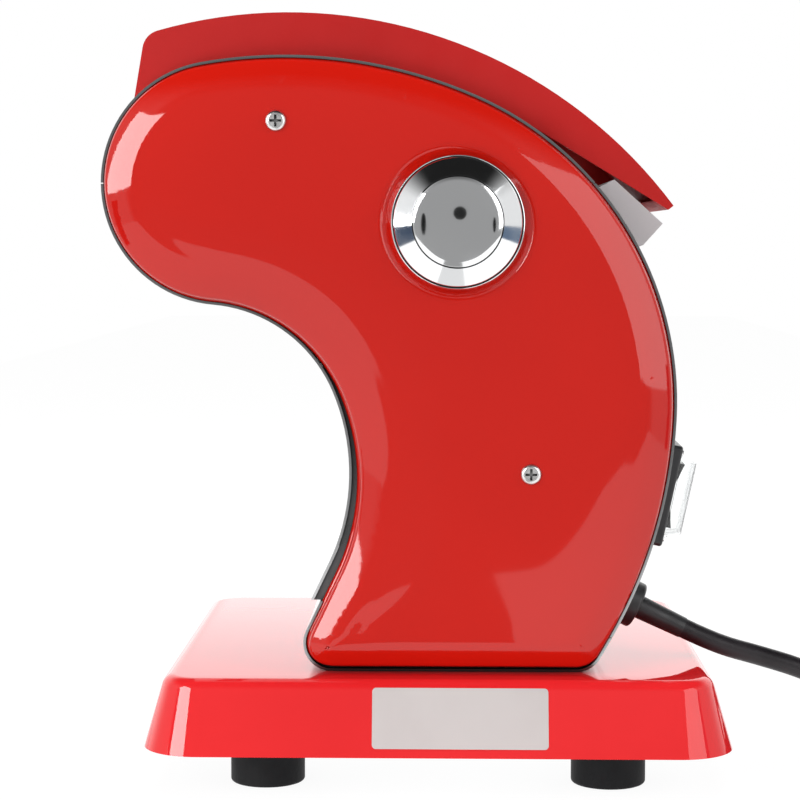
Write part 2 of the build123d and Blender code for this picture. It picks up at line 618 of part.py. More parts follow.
# ==== hood and its rear bracket ====
HOOD_STAND = BAND_STAND + HOOD_SEAT
HOOD_TIP_HEADING = 37.0
HOOD_BROW_HEADING = 107.2
HOOD_TIP_TOP = polar(HOOD_ARC_X, HOOD_ARC_Z, HOOD_ARC_RADIUS, HOOD_TIP_HEADING)
HOOD_TIP_UNDER = polar(HOOD_ARC_X, HOOD_ARC_Z, HOOD_ARC_RADIUS - 2.5, HOOD_TIP_HEADING)
HOOD_UNDERSIDE = polar(back_x, back_z, UPPER_BACK[0] + HOOD_STAND, 59.3)
HOOD_BROW = polar(HOOD_ARC_X, HOOD_ARC_Z, HOOD_ARC_RADIUS, HOOD_BROW_HEADING)
HOOD_CHIN = (HOOD_BROW[0] - 4.5, HOOD_BROW[1] - 26.0)
HOOD_EDGE = 8.0
HOOD_END_MARGIN = 1.8
INSIDE_HEAD_Z = CROWN_JOINT_Z
BRACKET_TOP = (75.5, PAN_TOP + 190.0)
BRACKET_TOE = (94.2, PAN_TOP + 173.1)
BRACKET_CHEEK = 11.2
BRACKET_HEEL = (-2.3, 5.8)
BRACKET_BURIED = ((11.6, 36.0), (-7.1, 15.2))
BRACKET_HALF_WIDTH = 69.0
BRACKET_SHEET = 1.5
FLANGE_MARGIN = 4.0
with BuildPart() as feed_hood:
    with BuildSketch(Plane.XZ) as hood_side:
        with BuildLine():
            crest = (HOOD_ARC_X, HOOD_ARC_Z + HOOD_ARC_RADIUS)
            ThreePointArc(HOOD_TIP_TOP, crest, HOOD_BROW)
            Polyline(HOOD_BROW, HOOD_CHIN, (HOOD_CHIN[0] / 2, INSIDE_HEAD_Z), (DIAL_X, INSIDE_HEAD_Z),
                     HOOD_UNDERSIDE, HOOD_TIP_UNDER, HOOD_TIP_TOP)
        make_face()
        fillet(hood_side.vertices().sort_by(Axis.X)[1], HOOD_EDGE)
        add(side_outline(HOOD_STAND, BAND_THROAT_STAND), mode=Mode.SUBTRACT)
    extrude(amount=HOOD_HALF_WIDTH, both=True)
    with BuildSketch(Plane.XZ):
        with BuildLine():
            inner_top = (HOOD_ARC_X, HOOD_ARC_Z + HOOD_ARC_RADIUS - HOOD_WALL)
            inner_radius = HOOD_ARC_RADIUS - HOOD_WALL
            inner_tip = polar(HOOD_ARC_X, HOOD_ARC_Z, inner_radius, HOOD_TIP_HEADING + HOOD_END_MARGIN)
            inner_brow = polar(HOOD_ARC_X, HOOD_ARC_Z, inner_radius, HOOD_BROW_HEADING - HOOD_END_MARGIN)
            ThreePointArc(inner_tip, inner_top, inner_brow)
            inner_chin = (HOOD_CHIN[0] + 2 * HOOD_WALL, HOOD_CHIN[1])
            inner_cheek = ((inner_chin[0] + inner_brow[0]) / 2 - 2 * HOOD_WALL, inner_brow[1] - 3 * HOOD_WALL)
            Polyline(inner_brow, inner_cheek, inner_chin, (inner_chin[0], DIAL_Z),
                     (BRACKET_TOP[0], DIAL_Z), inner_tip)
        make_face()
    extrude(amount=HOOD_HALF_WIDTH - HOOD_WALL, both=True, mode=Mode.SUBTRACT)
    slot_at(NARROW_NIP_X, NARROW_RIGHT[1], 90.0)
    slot_at(WIDE_NIP_X, WIDE_RIGHT[1], 90.0)
    slot_at(*NIP, NIP_LINE_UP)
write(feed_hood.part, "feed_hood")

toe_dx, toe_dz = BRACKET_TOE[0] - BRACKET_TOP[0], BRACKET_TOE[1] - BRACKET_TOP[1]
toe_run = math.hypot(toe_dx, toe_dz)
along = (toe_dx / toe_run, toe_dz / toe_run)
inward = (along[1], -along[0])


def from_top(run, depth):
    """Point of the bracket's side view, run along its top plate and depth under it."""
    return (BRACKET_TOP[0] + run * along[0] + depth * inward[0],
            BRACKET_TOP[1] + run * along[1] + depth * inward[1])


with BuildPart() as hood_bracket:
    with BuildSketch(Plane.XZ):
        with BuildLine():
            Polyline(from_top(0, 0), from_top(toe_run, 0), from_top(toe_run, BRACKET_CHEEK),
                     *[from_top(*spot) for spot in BRACKET_BURIED], from_top(*BRACKET_HEEL), close=True)
        make_face()
        add(side_outline(BAND_STAND, BAND_THROAT_STAND), mode=Mode.SUBTRACT)
    extrude(amount=BRACKET_HALF_WIDTH, both=True)
    with BuildSketch(Plane.XZ):
        with BuildLine():
            Polyline(from_top(-toe_run, BRACKET_SHEET), from_top(2 * toe_run, BRACKET_SHEET),
                     from_top(2 * toe_run, 2 * toe_run), from_top(-toe_run, 2 * toe_run), close=True)
        make_face()
    extrude(amount=BRACKET_HALF_WIDTH - BRACKET_SHEET, both=True, mode=Mode.SUBTRACT)
    with BuildSketch(Plane.XZ) as flange:
        with BuildLine():
            Polyline(from_top(FLANGE_MARGIN, BRACKET_SHEET), from_top(toe_run - FLANGE_MARGIN, BRACKET_SHEET),
                     from_top(toe_run - BRACKET_SHEET, BRACKET_CHEEK),
                     *[from_top(*spot) for spot in BRACKET_BURIED],
                     from_top(BRACKET_HEEL[0] + BRACKET_SHEET, BRACKET_HEEL[1]), close=True)
        make_face()
        add(side_outline(BAND_STAND + BRACKET_SHEET, BAND_THROAT_STAND), mode=Mode.INTERSECT)
        add(side_outline(BAND_STAND, BAND_THROAT_STAND), mode=Mode.SUBTRACT)
    extrude(amount=BRACKET_HALF_WIDTH - BRACKET_SHEET / 2, both=True)
    rivet_holes()
write(hood_bracket.part, "hood_bracket")

with BuildPart() as bracket_rivets:
    for plane in rivet_planes():
        with BuildSketch(plane.offset(-BAND_SHEET - 1)):
            Circle(RIVET_RADIUS)
        extrude(amount=BRACKET_SHEET + BAND_SHEET + 1)
        with BuildSketch(plane.offset(BRACKET_SHEET)):
            Circle(2.6)
        extrude(amount=1.2, taper=25)
write(bracket_rivets.part, "bracket_rivets")


# ==== press rollers, their bushes and the thickness dial ====
BUSH_BORE = JOURNAL_RADIUS + RUNNING_FIT
CUP_BORE = BUSH_OUTER + RUNNING_FIT
SHAFT_END = GEAR_2_OUT + 0.2

with BuildPart() as fixed_press_roller:
    rod(PRESS_RADIUS, -ROLLER_HALF, ROLLER_HALF, FIXED)
    rod(JOURNAL_RADIUS, -FRAME_OUT - 1, SHAFT_END, FIXED)
write(fixed_press_roller.part, "fixed_press_roller")

with BuildPart() as adjustable_press_roller:
    rod(PRESS_RADIUS, -ROLLER_HALF, ROLLER_HALF, ADJUSTABLE)
    rod(JOURNAL_RADIUS, -FRAME_OUT - 0.3, GEAR_1_OUT, ADJUSTABLE)
write(adjustable_press_roller.part, "adjustable_press_roller")

FLANGE_IN = 72.0
with BuildPart() as fixed_roller_bushes:
    for inner, seat, outer in ((-FLANGE_IN, -FRAME_IN, -FRAME_OUT), (FLANGE_IN, FRAME_IN, FRAME_OUT)):
        rod(BUSH_OUTER + 2, min(inner, seat), max(inner, seat), FIXED)
        rod(BUSH_OUTER, min(seat, outer), max(seat, outer), FIXED)
    bore(BUSH_BORE, -FRAME_OUT, FRAME_OUT, FIXED)
write(fixed_roller_bushes.part, "fixed_roller_bushes")

BUSH_IN = ROLLER_HALF + 0.3
CUP_FLOOR = 77.2
FAR_RING_END = 76.3
with BuildPart() as floating_bushes:
    rod(BUSH_OUTER, -CUP_FLOOR + 0.2, -BUSH_IN, ADJUSTABLE)
    rod(BUSH_OUTER, BUSH_IN, FAR_RING_END + 0.4, ADJUSTABLE)
    bore(BUSH_BORE, -CUP_FLOOR, CUP_FLOOR, ADJUSTABLE)
write(floating_bushes.part, "floating_bushes")

YOKE_BAR = polar(*DIAL, YOKE_BAR_REACH, YOKE_BAR_HEADING)
ARM_HUB = ECCENTRIC_RADIUS + 2
CUP_END = 79.0
DIAL_SHAFT_END = 96.5


def yoke_arm(y_near, y_far):
    """Flat arm from the eccentric hub to the bar that joins both hubs."""
    with BuildSketch(side_plane(y_far)) as arm:
        with Locations(DIAL):
            Circle(ARM_HUB)
        with Locations(YOKE_BAR):
            Circle(YOKE_BAR_RADIUS + 1.5)
        arm_middle = ((DIAL[0] + YOKE_BAR[0]) / 2, (DIAL[1] + YOKE_BAR[1]) / 2)
        with Locations(Location(arm_middle, YOKE_BAR_HEADING)):
            Rectangle(YOKE_BAR_REACH, 2 * (YOKE_BAR_RADIUS + 1.5))
    extrude(arm.sketch, amount=y_far - y_near)


with BuildPart() as adjusting_yoke:
    yoke_arm(-YOKE_ARM_OUT, -YOKE_ARM_IN)
    yoke_arm(YOKE_ARM_IN, YOKE_ARM_OUT)
    rod(ECCENTRIC_RADIUS, -CUP_END, -YOKE_ARM_IN, DIAL)
    rod(ECCENTRIC_RADIUS, YOKE_ARM_IN, FAR_RING_END, DIAL)
    rod(YOKE_BAR_RADIUS, -YOKE_ARM_IN, YOKE_ARM_IN, YOKE_BAR)
    bore(CUP_BORE, -CUP_FLOOR, -YOKE_ARM_IN, ADJUSTABLE)
    bore(CUP_BORE, YOKE_ARM_IN, FAR_RING_END, ADJUSTABLE)
    rod(DIAL_SHAFT_RADIUS, -DIAL_SHAFT_END, -CUP_END, DIAL)
write(adjusting_yoke.part, "adjusting_yoke")

INDEX_PLATE_RADIUS = 22.0
INDEX_PLATE_SHEET = 1.5
INDEX_FACE = DISH_FLOOR + INDEX_PLATE_SHEET
INDEX_PIN_RADIUS = 1.5
INDEX_CLEARANCE = 0.3
index_spots = [polar(*DIAL, INDEX_RADIUS, YOKE_BAR_HEADING + step * DIAL_SWING / (INDEX_STEPS - 1))
               for step in range(INDEX_STEPS)]
with BuildPart() as index_plate:
    rod(INDEX_PLATE_RADIUS, -INDEX_FACE, -DISH_FLOOR, DIAL)
    bore(DIAL_SHAFT_RADIUS + 2, -INDEX_FACE, -DISH_FLOOR, DIAL)
    bore(INDEX_PIN_RADIUS + 0.2, -INDEX_FACE, -DISH_FLOOR, *index_spots)
write(index_plate.part, "index_plate")


def dial_axis_plane():
    """Half-plane through the dial's axis: x is the radius, y is the distance out towards the user."""
    return Plane(origin=(DIAL_X, 0, DIAL_Z), x_dir=(1, 0, 0), z_dir=(0, 0, 1))


KNOB_HUB = 8.5
KNOB_CAVITY = 22.6
KNOB_WEB = 93.5
KNOB_BORE_END = 101.0
dome_mid = (KNOB_DOME_RADIUS / 2, KNOB_TOP - (KNOB_TOP - KNOB_DOME_START) / 4)
with BuildPart() as dial_knob:
    with BuildSketch(dial_axis_plane()) as knob_half:
        with BuildLine():
            ThreePointArc((0, -KNOB_TOP), (dome_mid[0], -dome_mid[1]), (KNOB_DOME_RADIUS, -KNOB_DOME_START))
            Polyline((KNOB_DOME_RADIUS, -KNOB_DOME_START), (KNOB_RADIUS, -KNOB_RIM),
                     (KNOB_RADIUS, -KNOB_REAR),
                     (KNOB_CAVITY, -KNOB_REAR), (KNOB_CAVITY, -KNOB_WEB), (KNOB_HUB, -KNOB_WEB),
                     (KNOB_HUB, -INDEX_FACE - 0.6), (DIAL_SHAFT_RADIUS, -INDEX_FACE - 0.6),
                     (DIAL_SHAFT_RADIUS, -KNOB_BORE_END), (0, -KNOB_BORE_END), (0, -KNOB_TOP))
        make_face()
    revolve(axis=Axis((DIAL_X, 0, DIAL_Z), (0, 1, 0)))
    bore(DIAL_SHAFT_RADIUS + RUNNING_FIT, -KNOB_BORE_END, -KNOB_REAR, DIAL)
    rod(INDEX_PIN_RADIUS, -KNOB_WEB, -INDEX_FACE - INDEX_CLEARANCE, index_spots[0])
write(dial_knob.part, "dial_knob")


# ==== gears ====
PRESSURE_ANGLE = math.radians(20)


def involute(angle):
    """The involute function, tan a - a."""
    return math.tan(angle) - angle


def gear_outline(teeth, module, phase, thinning, addendum=1.0, dedendum=1.2):
    """Spur gear outline about the origin with one tooth centred at the phase, in radians."""
    pitch_radius = teeth * module / 2
    base_radius = pitch_radius * math.cos(PRESSURE_ANGLE)
    tip_radius = pitch_radius + addendum * module
    root_radius = pitch_radius - dedendum * module
    half_pitch_tooth = math.pi / (2 * teeth) - thinning / (2 * pitch_radius)

    def half_tooth(radius):
        pressure = math.acos(min(1.0, base_radius / radius))
        return half_pitch_tooth + involute(PRESSURE_ANGLE) - involute(pressure)

    flank = [root_radius, max(root_radius + 0.01, base_radius), pitch_radius, (pitch_radius + tip_radius) / 2,
             tip_radius]
    outline = []
    for tooth in range(teeth):
        middle = phase + tooth * 2 * math.pi / teeth
        for side, radii in ((-1, flank), (1, reversed(flank))):
            for radius in radii:
                angle = middle + side * half_tooth(radius)
                outline.append((radius * math.cos(angle), radius * math.sin(angle)))
    with BuildSketch() as gear:
        with BuildLine():
            Polyline(*outline, close=True)
        make_face()
    return gear.sketch


def meshing_phase(driver_phase, driver_teeth, teeth, driver_centre, centre):
    """Phase that puts a gear in mesh with its driver, a tooth facing a gap."""
    heading = math.atan2(centre[1] - driver_centre[1], centre[0] - driver_centre[0])
    driver_turn = (heading - driver_phase) * driver_teeth / (2 * math.pi)
    return heading + math.pi - (0.5 - driver_turn) * 2 * math.pi / teeth


def gear(centre, y_near, y_far, teeth, module, phase, thinning=TOOTH_THINNING, **shape):
    """A gear added to the open part between two distances along Y."""
    with BuildSketch(side_plane(y_far)) as section:
        with Locations(centre):
            add(gear_outline(teeth, module, phase, thinning, **shape))
    extrude(section.sketch, amount=y_far - y_near)


PRESS_SHAPE = {"addendum": 0.87, "dedendum": 1.03}
MEAN_OFFSET = 0.63 * ECCENTRICITY
mean_adjustable = polar(*DIAL, MEAN_OFFSET, NIP_HEADING - 90.0)
press_phase = meshing_phase(0.0, PRESS_GEAR_TEETH, PRESS_GEAR_TEETH, FIXED, mean_adjustable)
idler_1_phase = meshing_phase(0.0, WHEEL_TEETH, IDLER_1_TEETH, FIXED, IDLER_1)
narrow_phase = meshing_phase(idler_1_phase, IDLER_1_TEETH, CUTTER_TEETH, IDLER_1, NARROW_RIGHT)
idler_2_phase = meshing_phase(narrow_phase, CUTTER_TEETH, IDLER_2_TEETH, NARROW_RIGHT, IDLER_2)
wide_phase = meshing_phase(idler_2_phase, IDLER_2_TEETH, CUTTER_TEETH, IDLER_2, WIDE_RIGHT)
narrow_pair_phase = meshing_phase(0.0, CUTTER_TEETH, CUTTER_TEETH, NARROW_RIGHT, NARROW_LEFT)
wide_pair_phase = meshing_phase(0.0, CUTTER_TEETH, CUTTER_TEETH, WIDE_RIGHT, WIDE_LEFT)
compound_phase = meshing_phase(0.0, WHEEL_TEETH, PINION_TEETH, FIXED, COMPOUND)
motor_phase = meshing_phase(0.0, COMPOUND_TEETH, MOTOR_PINION_TEETH, COMPOUND, MOTOR)

with BuildPart() as fixed_roller_gears:
    gear(FIXED, GEAR_1_IN, GEAR_1_OUT, PRESS_GEAR_TEETH, PRESS_GEAR_MODULE, 0.0,
         PRESS_TOOTH_THINNING, **PRESS_SHAPE)
    gear(FIXED, GEAR_2_IN, GEAR_2_OUT, WHEEL_TEETH, TRAIN_MODULE, 0.0)
    bore(JOURNAL_RADIUS, GEAR_1_IN, GEAR_2_OUT, FIXED)
write(fixed_roller_gears.part, "fixed_roller_gears")

with BuildPart() as adjustable_roller_gear:
    gear(ADJUSTABLE, GEAR_1_IN, GEAR_1_OUT, PRESS_GEAR_TEETH, PRESS_GEAR_MODULE, press_phase,
         PRESS_TOOTH_THINNING, **PRESS_SHAPE)
    bore(JOURNAL_RADIUS, GEAR_1_IN, GEAR_1_OUT, ADJUSTABLE)
write(adjustable_roller_gear.part, "adjustable_roller_gear")

STUD_SHOULDER = 4.5
STUD_JOURNAL = 3.5
IDLERS = (("idler_gear_1", IDLER_1, IDLER_1_TEETH, idler_1_phase),
          ("idler_gear_2", IDLER_2, IDLER_2_TEETH, idler_2_phase))
for name, centre, teeth, phase in IDLERS:
    with BuildPart() as idler:
        gear(centre, GEAR_2_IN, GEAR_2_OUT, teeth, TRAIN_MODULE, phase)
        bore(STUD_JOURNAL + RUNNING_FIT, GEAR_2_IN, GEAR_2_OUT, centre)
    write(idler.part, name)

with BuildPart() as compound_gear:
    gear(COMPOUND, GEAR_1_IN, GEAR_1_OUT, COMPOUND_TEETH, MOTOR_MODULE, 0.0)
    gear(COMPOUND, GEAR_2_IN, GEAR_2_OUT, PINION_TEETH, TRAIN_MODULE, compound_phase)
    rod(PINION_TEETH * TRAIN_MODULE / 2 - 1.2 * TRAIN_MODULE, GEAR_1_OUT, GEAR_2_IN, COMPOUND)
    bore(STUD_SHOULDER + RUNNING_FIT, GEAR_1_IN, GEAR_2_OUT, COMPOUND)
write(compound_gear.part, "compound_gear")

with BuildPart() as idler_studs:
    rod(STUD_SPIGOT, FRAME_IN, FRAME_OUT, IDLER_1, IDLER_2, COMPOUND)
    rod(STUD_SHOULDER, FRAME_OUT, GEAR_2_IN - 0.2, IDLER_1, IDLER_2)
    rod(STUD_JOURNAL, GEAR_2_IN - 0.2, SHAFT_END, IDLER_1, IDLER_2)
    rod(STUD_SHOULDER, FRAME_OUT, SHAFT_END, COMPOUND)
write(idler_studs.part, "idler_studs")


# ==== cutter rollers ====
def cutter_roller(centre, ribbon, shift, shaft_end):
    """Roller of discs and grooves; the mating roller's discs run in its grooves."""
    groove = ribbon + 2 * CUTTER_SIDE_PLAY
    pitch = ribbon + groove
    count = int(2 * ROLLER_HALF / pitch)
    span = count * pitch
    with BuildPart() as roller:
        rod(CUTTER_CORE, -ROLLER_HALF + CUTTER_END_PLAY, ROLLER_HALF - CUTTER_END_PLAY, centre)
        for index in range(count):
            start = -span / 2 + index * pitch + shift * pitch / 2
            if start + ribbon < ROLLER_HALF - CUTTER_END_PLAY:
                rod(CUTTER_RADIUS, start, start + ribbon, centre)
        rod(CUTTER_JOURNAL, -FRAME_OUT - 1, shaft_end, centre)
    return roller.part


CUTTERS = (("narrow_cutter_right", NARROW_RIGHT, NARROW_RIBBON, 0, SHAFT_END),
           ("narrow_cutter_left", NARROW_LEFT, NARROW_RIBBON, 1, GEAR_1_OUT + 0.2),
           ("wide_cutter_right", WIDE_RIGHT, WIDE_RIBBON, 0, SHAFT_END),
           ("wide_cutter_left", WIDE_LEFT, WIDE_RIBBON, 1, GEAR_1_OUT + 0.2))
for name, centre, ribbon, shift, shaft_end in CUTTERS:
    write(cutter_roller(centre, ribbon, shift, shaft_end), name)

CUTTER_GEARS = (("narrow_right_gears", NARROW_RIGHT, 0.0, narrow_phase),
                ("narrow_left_gear", NARROW_LEFT, narrow_pair_phase, None),
                ("wide_right_gears", WIDE_RIGHT, 0.0, wide_phase),
                ("wide_left_gear", WIDE_LEFT, wide_pair_phase, None))
for name, centre, pair_phase, train_phase in CUTTER_GEARS:
    with BuildPart() as cutter_gear:
        gear(centre, GEAR_1_IN, GEAR_1_OUT, CUTTER_TEETH, CUTTER_MODULE, pair_phase)
        if train_phase is not None:
            gear(centre, GEAR_2_IN, GEAR_2_OUT, CUTTER_TEETH, TRAIN_MODULE, train_phase)
        bore(CUTTER_JOURNAL, GEAR_1_IN, GEAR_2_OUT, centre)
    write(cutter_gear.part, name)

with BuildPart() as cutter_bushes:
    for inner, seat, outer in ((-FLANGE_IN, -FRAME_IN, -FRAME_OUT), (FLANGE_IN, FRAME_IN, FRAME_OUT)):
        rod(CUTTER_BUSH_OUTER + 2, min(inner, seat), max(inner, seat), *CUTTER_SHAFTS)
        rod(CUTTER_BUSH_OUTER, min(seat, outer), max(seat, outer), *CUTTER_SHAFTS)
    bore(CUTTER_JOURNAL + RUNNING_FIT, -FRAME_OUT, FRAME_OUT, *CUTTER_SHAFTS)
write(cutter_bushes.part, "cutter_bushes")

# ==== sheet metal guides under the rollers ====
GUIDE_SHEET = 1.2
GUIDE_HALF_GAP = 5.5
GUIDE_RUN = (16.5, 73.0)
NARROW_GUIDE_DROPS = (17.4, 62.4, 76.8)
WIDE_GUIDE_DROPS = (18.0, 39.5, 41.5)
with BuildPart() as sheet_guides:
    angle = math.radians(NIP_LINE)
    way = Plane(origin=(NIP[0], 0, NIP[1]), x_dir=(0, 1, 0), z_dir=(math.cos(angle), 0, math.sin(angle)))
    with BuildSketch(way.offset(GUIDE_RUN[0])):
        with Locations((0, GUIDE_HALF_GAP + GUIDE_SHEET / 2), (0, -GUIDE_HALF_GAP - GUIDE_SHEET / 2)):
            Rectangle(2 * FRAME_IN, GUIDE_SHEET)
    extrude(amount=GUIDE_RUN[1] - GUIDE_RUN[0])
write(sheet_guides.part, "sheet_guides")

with BuildPart() as noodle_guides:
    for nip_x, nip_z, drops in ((NARROW_NIP_X, NARROW_RIGHT[1], NARROW_GUIDE_DROPS),
                                (WIDE_NIP_X, WIDE_RIGHT[1], WIDE_GUIDE_DROPS)):
        for side, drop in ((-1, drops[1]), (1, drops[2])):
            x = nip_x + side * (GUIDE_HALF_GAP + GUIDE_SHEET / 2)
            with BuildSketch(side_plane(FRAME_IN)) as strip:
                with Locations((x, nip_z - (drops[0] + drop) / 2)):
                    Rectangle(GUIDE_SHEET, drop - drops[0])
            extrude(strip.sketch, amount=2 * FRAME_IN)
write(noodle_guides.part, "noodle_guides")

# ==== motor ====
MOTOR_BORE = MOTOR_RADIUS - MOTOR_WALL
MOTOR_FRONT = FRAME_IN - 4.0
with BuildPart() as motor_housing:
    rod(MOTOR_RADIUS, MOTOR_REAR, FRAME_IN, MOTOR)
    bore(MOTOR_BORE, MOTOR_REAR, MOTOR_FRONT, MOTOR)
    rod(MOTOR_PILOT, FRAME_IN, FRAME_OUT, MOTOR)
    bore(MOTOR_SHAFT + RUNNING_FIT, MOTOR_FRONT, FRAME_OUT, MOTOR)
    bore(M4, MOTOR_FRONT, FRAME_IN, *MOTOR_SCREWS)
write(motor_housing.part, "motor_housing")

with BuildPart() as motor_end_cap:
    rod(MOTOR_RADIUS, MOTOR_REAR - 4, MOTOR_REAR, MOTOR)
    rod(MOTOR_PILOT, MOTOR_REAR - 10, MOTOR_REAR - 4, MOTOR)
    bore(MOTOR_SHAFT + RUNNING_FIT, MOTOR_REAR - 8, MOTOR_REAR, MOTOR)
write(motor_end_cap.part, "motor_end_cap")

MAGNET_THICKNESS = 4.0
MAGNET_HALF = 28.0
with BuildPart() as stator_magnets:
    rod(MOTOR_BORE, -MAGNET_HALF + 20, MAGNET_HALF + 20, MOTOR)
    bore(MOTOR_BORE - MAGNET_THICKNESS, -MAGNET_HALF + 20, MAGNET_HALF + 20, MOTOR)
    with BuildSketch(Plane.XZ) as gap:
        with Locations(MOTOR):
            Rectangle(12, 3 * MOTOR_RADIUS)
    extrude(gap.sketch, amount=2 * MOTOR_RADIUS, both=True, mode=Mode.SUBTRACT)
write(stator_magnets.part, "stator_magnets")

with BuildPart() as motor_rotor:
    rod(MOTOR_BORE - MAGNET_THICKNESS - 0.8, -MAGNET_HALF + 22, MAGNET_HALF + 18, MOTOR)
    rod(10.0, MOTOR_REAR + 4, -MAGNET_HALF + 22, MOTOR)
    rod(MOTOR_SHAFT, MOTOR_REAR - 7.5, GEAR_1_IN, MOTOR)
    gear(MOTOR, GEAR_1_IN, GEAR_1_OUT, MOTOR_PINION_TEETH, MOTOR_MODULE, motor_phase)
write(motor_rotor.part, "motor_rotor")

# ==== switch ====
ROCKER_PIVOT = 1.0
ROCKER_HALF_WIDTH = 7.0
ROCKER_HALF_LENGTH = 13.0
ROCKER_END_RISE = 7.6
ROCKER_MIDDLE_RISE = 5.6
ROCKER_THROW = 14.0
window_depth = 9.0
with BuildPart() as switch_body:
    with BuildSketch(SWITCH_PLANE.offset(-1.5)):
        RectangleRounded(BEZEL_WIDTH, BEZEL_LENGTH, 2.0)
    extrude(amount=BEZEL_PROUD + 1.5)
    fillet(switch_body.faces().sort_by(Axis(SWITCH_PLANE.origin, SWITCH_PLANE.z_dir))[-1].edges(), 1.0)
    with BuildSketch(Plane.XZ):
        add(side_outline(BAND_STAND, BAND_THROAT_STAND))
    extrude(amount=BAND_HALF_WIDTH, both=True, mode=Mode.SUBTRACT)
    with BuildSketch(SWITCH_PLANE.offset(BEZEL_PROUD - 1)):
        Rectangle(SWITCH_CASE[0] - 0.4, SWITCH_CASE[1] - 0.4)
    extrude(amount=-SWITCH_CASE[2] - BEZEL_PROUD + 1)
    with BuildSketch(SWITCH_PLANE.offset(BEZEL_PROUD)):
        Rectangle(SWITCH_WINDOW[0], SWITCH_WINDOW[1])
    extrude(amount=-window_depth - BEZEL_PROUD, mode=Mode.SUBTRACT)
write(switch_body.part, "switch_body")

switch_side = Plane(origin=SWITCH_PLANE.origin, x_dir=SWITCH_PLANE.z_dir, z_dir=(0, -1, 0))
with BuildPart() as switch_rocker:
    with BuildSketch(switch_side) as rocker_side:
        with BuildLine():
            ThreePointArc((ROCKER_END_RISE, -ROCKER_HALF_LENGTH), (ROCKER_MIDDLE_RISE, 0),
                          (ROCKER_END_RISE, ROCKER_HALF_LENGTH))
            Polyline((ROCKER_END_RISE, ROCKER_HALF_LENGTH), (ROCKER_PIVOT, ROCKER_HALF_LENGTH),
                     (-5, 5), (-5, -5), (ROCKER_PIVOT, -ROCKER_HALF_LENGTH),
                     (ROCKER_END_RISE, -ROCKER_HALF_LENGTH))
        make_face()
    extrude(amount=ROCKER_HALF_WIDTH, both=True)
write(switch_rocker.part, "switch_rocker")

BOOT_BASE = (20.0, 34.0)
BOOT_TOP_RISE = 7.2
BOOT_TAPER = 18.0
BOOT_WALL = 0.8
with BuildPart() as boot_hollow:
    with BuildSketch(SWITCH_PLANE.offset(BEZEL_PROUD)):
        Rectangle(BOOT_BASE[0] - 2 * BOOT_WALL, BOOT_BASE[1] - 2 * BOOT_WALL)
    extrude(amount=BOOT_TOP_RISE - BOOT_WALL, taper=BOOT_TAPER)
with BuildPart() as switch_boot:
    with BuildSketch(SWITCH_PLANE.offset(BEZEL_PROUD)):
        Rectangle(BOOT_BASE[0], BOOT_BASE[1])
    extrude(amount=BOOT_TOP_RISE, taper=BOOT_TAPER)
    fillet(switch_boot.faces().sort_by(Axis(SWITCH_PLANE.origin, SWITCH_PLANE.z_dir))[-1].edges(), 1.0)
    with BuildSketch(SWITCH_PLANE.offset(BEZEL_PROUD)):
        RectangleRounded(BOOT_BASE[0] + 3, BOOT_BASE[1] + 3, 2)
    extrude(amount=0.8)
    add(boot_hollow.part, mode=Mode.SUBTRACT)
write(switch_boot.part, "switch_boot")

# ==== mains lead: gland, cord, coil, tie, plug ====
RELIEF_ROOT = 4.7
gland_out = GLAND_PLANE.z_dir
with BuildPart() as cord_gland:
    with BuildSketch(GLAND_PLANE.offset(-1.5)):
        Circle(GLAND_RADIUS)
    extrude(amount=GLAND_PROUD + 1.5)
    gland_axis = Axis(GLAND_PLANE.origin, gland_out)
    fillet(cord_gland.faces().sort_by(gland_axis)[-1].edges(), 1.2)
    with BuildSketch(Plane.XZ):
        add(side_outline(BAND_STAND, BAND_THROAT_STAND))
    extrude(amount=BAND_HALF_WIDTH, both=True, mode=Mode.SUBTRACT)
    with BuildSketch(GLAND_PLANE.offset(2)):
        Circle(CORD_RADIUS + 2.3)
    extrude(amount=-12)
    with BuildSketch(GLAND_PLANE.offset(-4)):
        Circle(GLAND_RADIUS)
    extrude(amount=-3)
    relief_plane = GLAND_PLANE.offset(GLAND_PROUD)
    with BuildSketch(relief_plane):
        Circle(RELIEF_ROOT)
    with BuildSketch(relief_plane.offset(RELIEF_LENGTH)):
        Circle(CORD_RADIUS + 0.2)
    loft()
write(cord_gland.part, "cord_gland")

exit_point = GLAND_PLANE.origin + gland_out * (GLAND_PROUD + RELIEF_LENGTH)
CORD_ROUTE = [
    (exit_point.X, exit_point.Y, exit_point.Z),
    (119.3, -45.0, 49.5),
    (136.0, -45.4, 45.2),
    (155.0, -46.6, 39.6),
    (175.0, -47.6, 30.4),
    (192.0, -47.0, 19.0),
    (207.0, -45.8, 8.6),
    (224.0, -45.0, 4.2),
    (238.0, -44.2, 4.4),
]
cord_runs = [Vector(*b) - Vector(*a) for a, b in zip(CORD_ROUTE, CORD_ROUTE[1:])]
cord_radii = []
for before, after in zip(cord_runs, cord_runs[1:]):
    turn = math.radians(before.get_angle(after))
    cord_radii.append(0.45 * min(before.length, after.length) / math.tan(turn / 2))
print("cord bend radii:", [round(radius) for radius in cord_radii])
with BuildPart() as power_cord:
    with BuildLine() as cord_path:
        FilletPolyline(*CORD_ROUTE, radius=cord_radii)
    with BuildSketch(Plane(origin=cord_path.line @ 0, z_dir=cord_path.line % 0)):
        Circle(CORD_RADIUS)
    sweep(path=cord_path.line)
cord_length = sum(edge.length for edge in cord_path.edges())
cord_share = power_cord.part.volume / (math.pi * CORD_RADIUS ** 2 * cord_length)
print("cord tube:", round(cord_length), "mm, volume share", round(cord_share, 4))
write(power_cord.part, "power_cord")

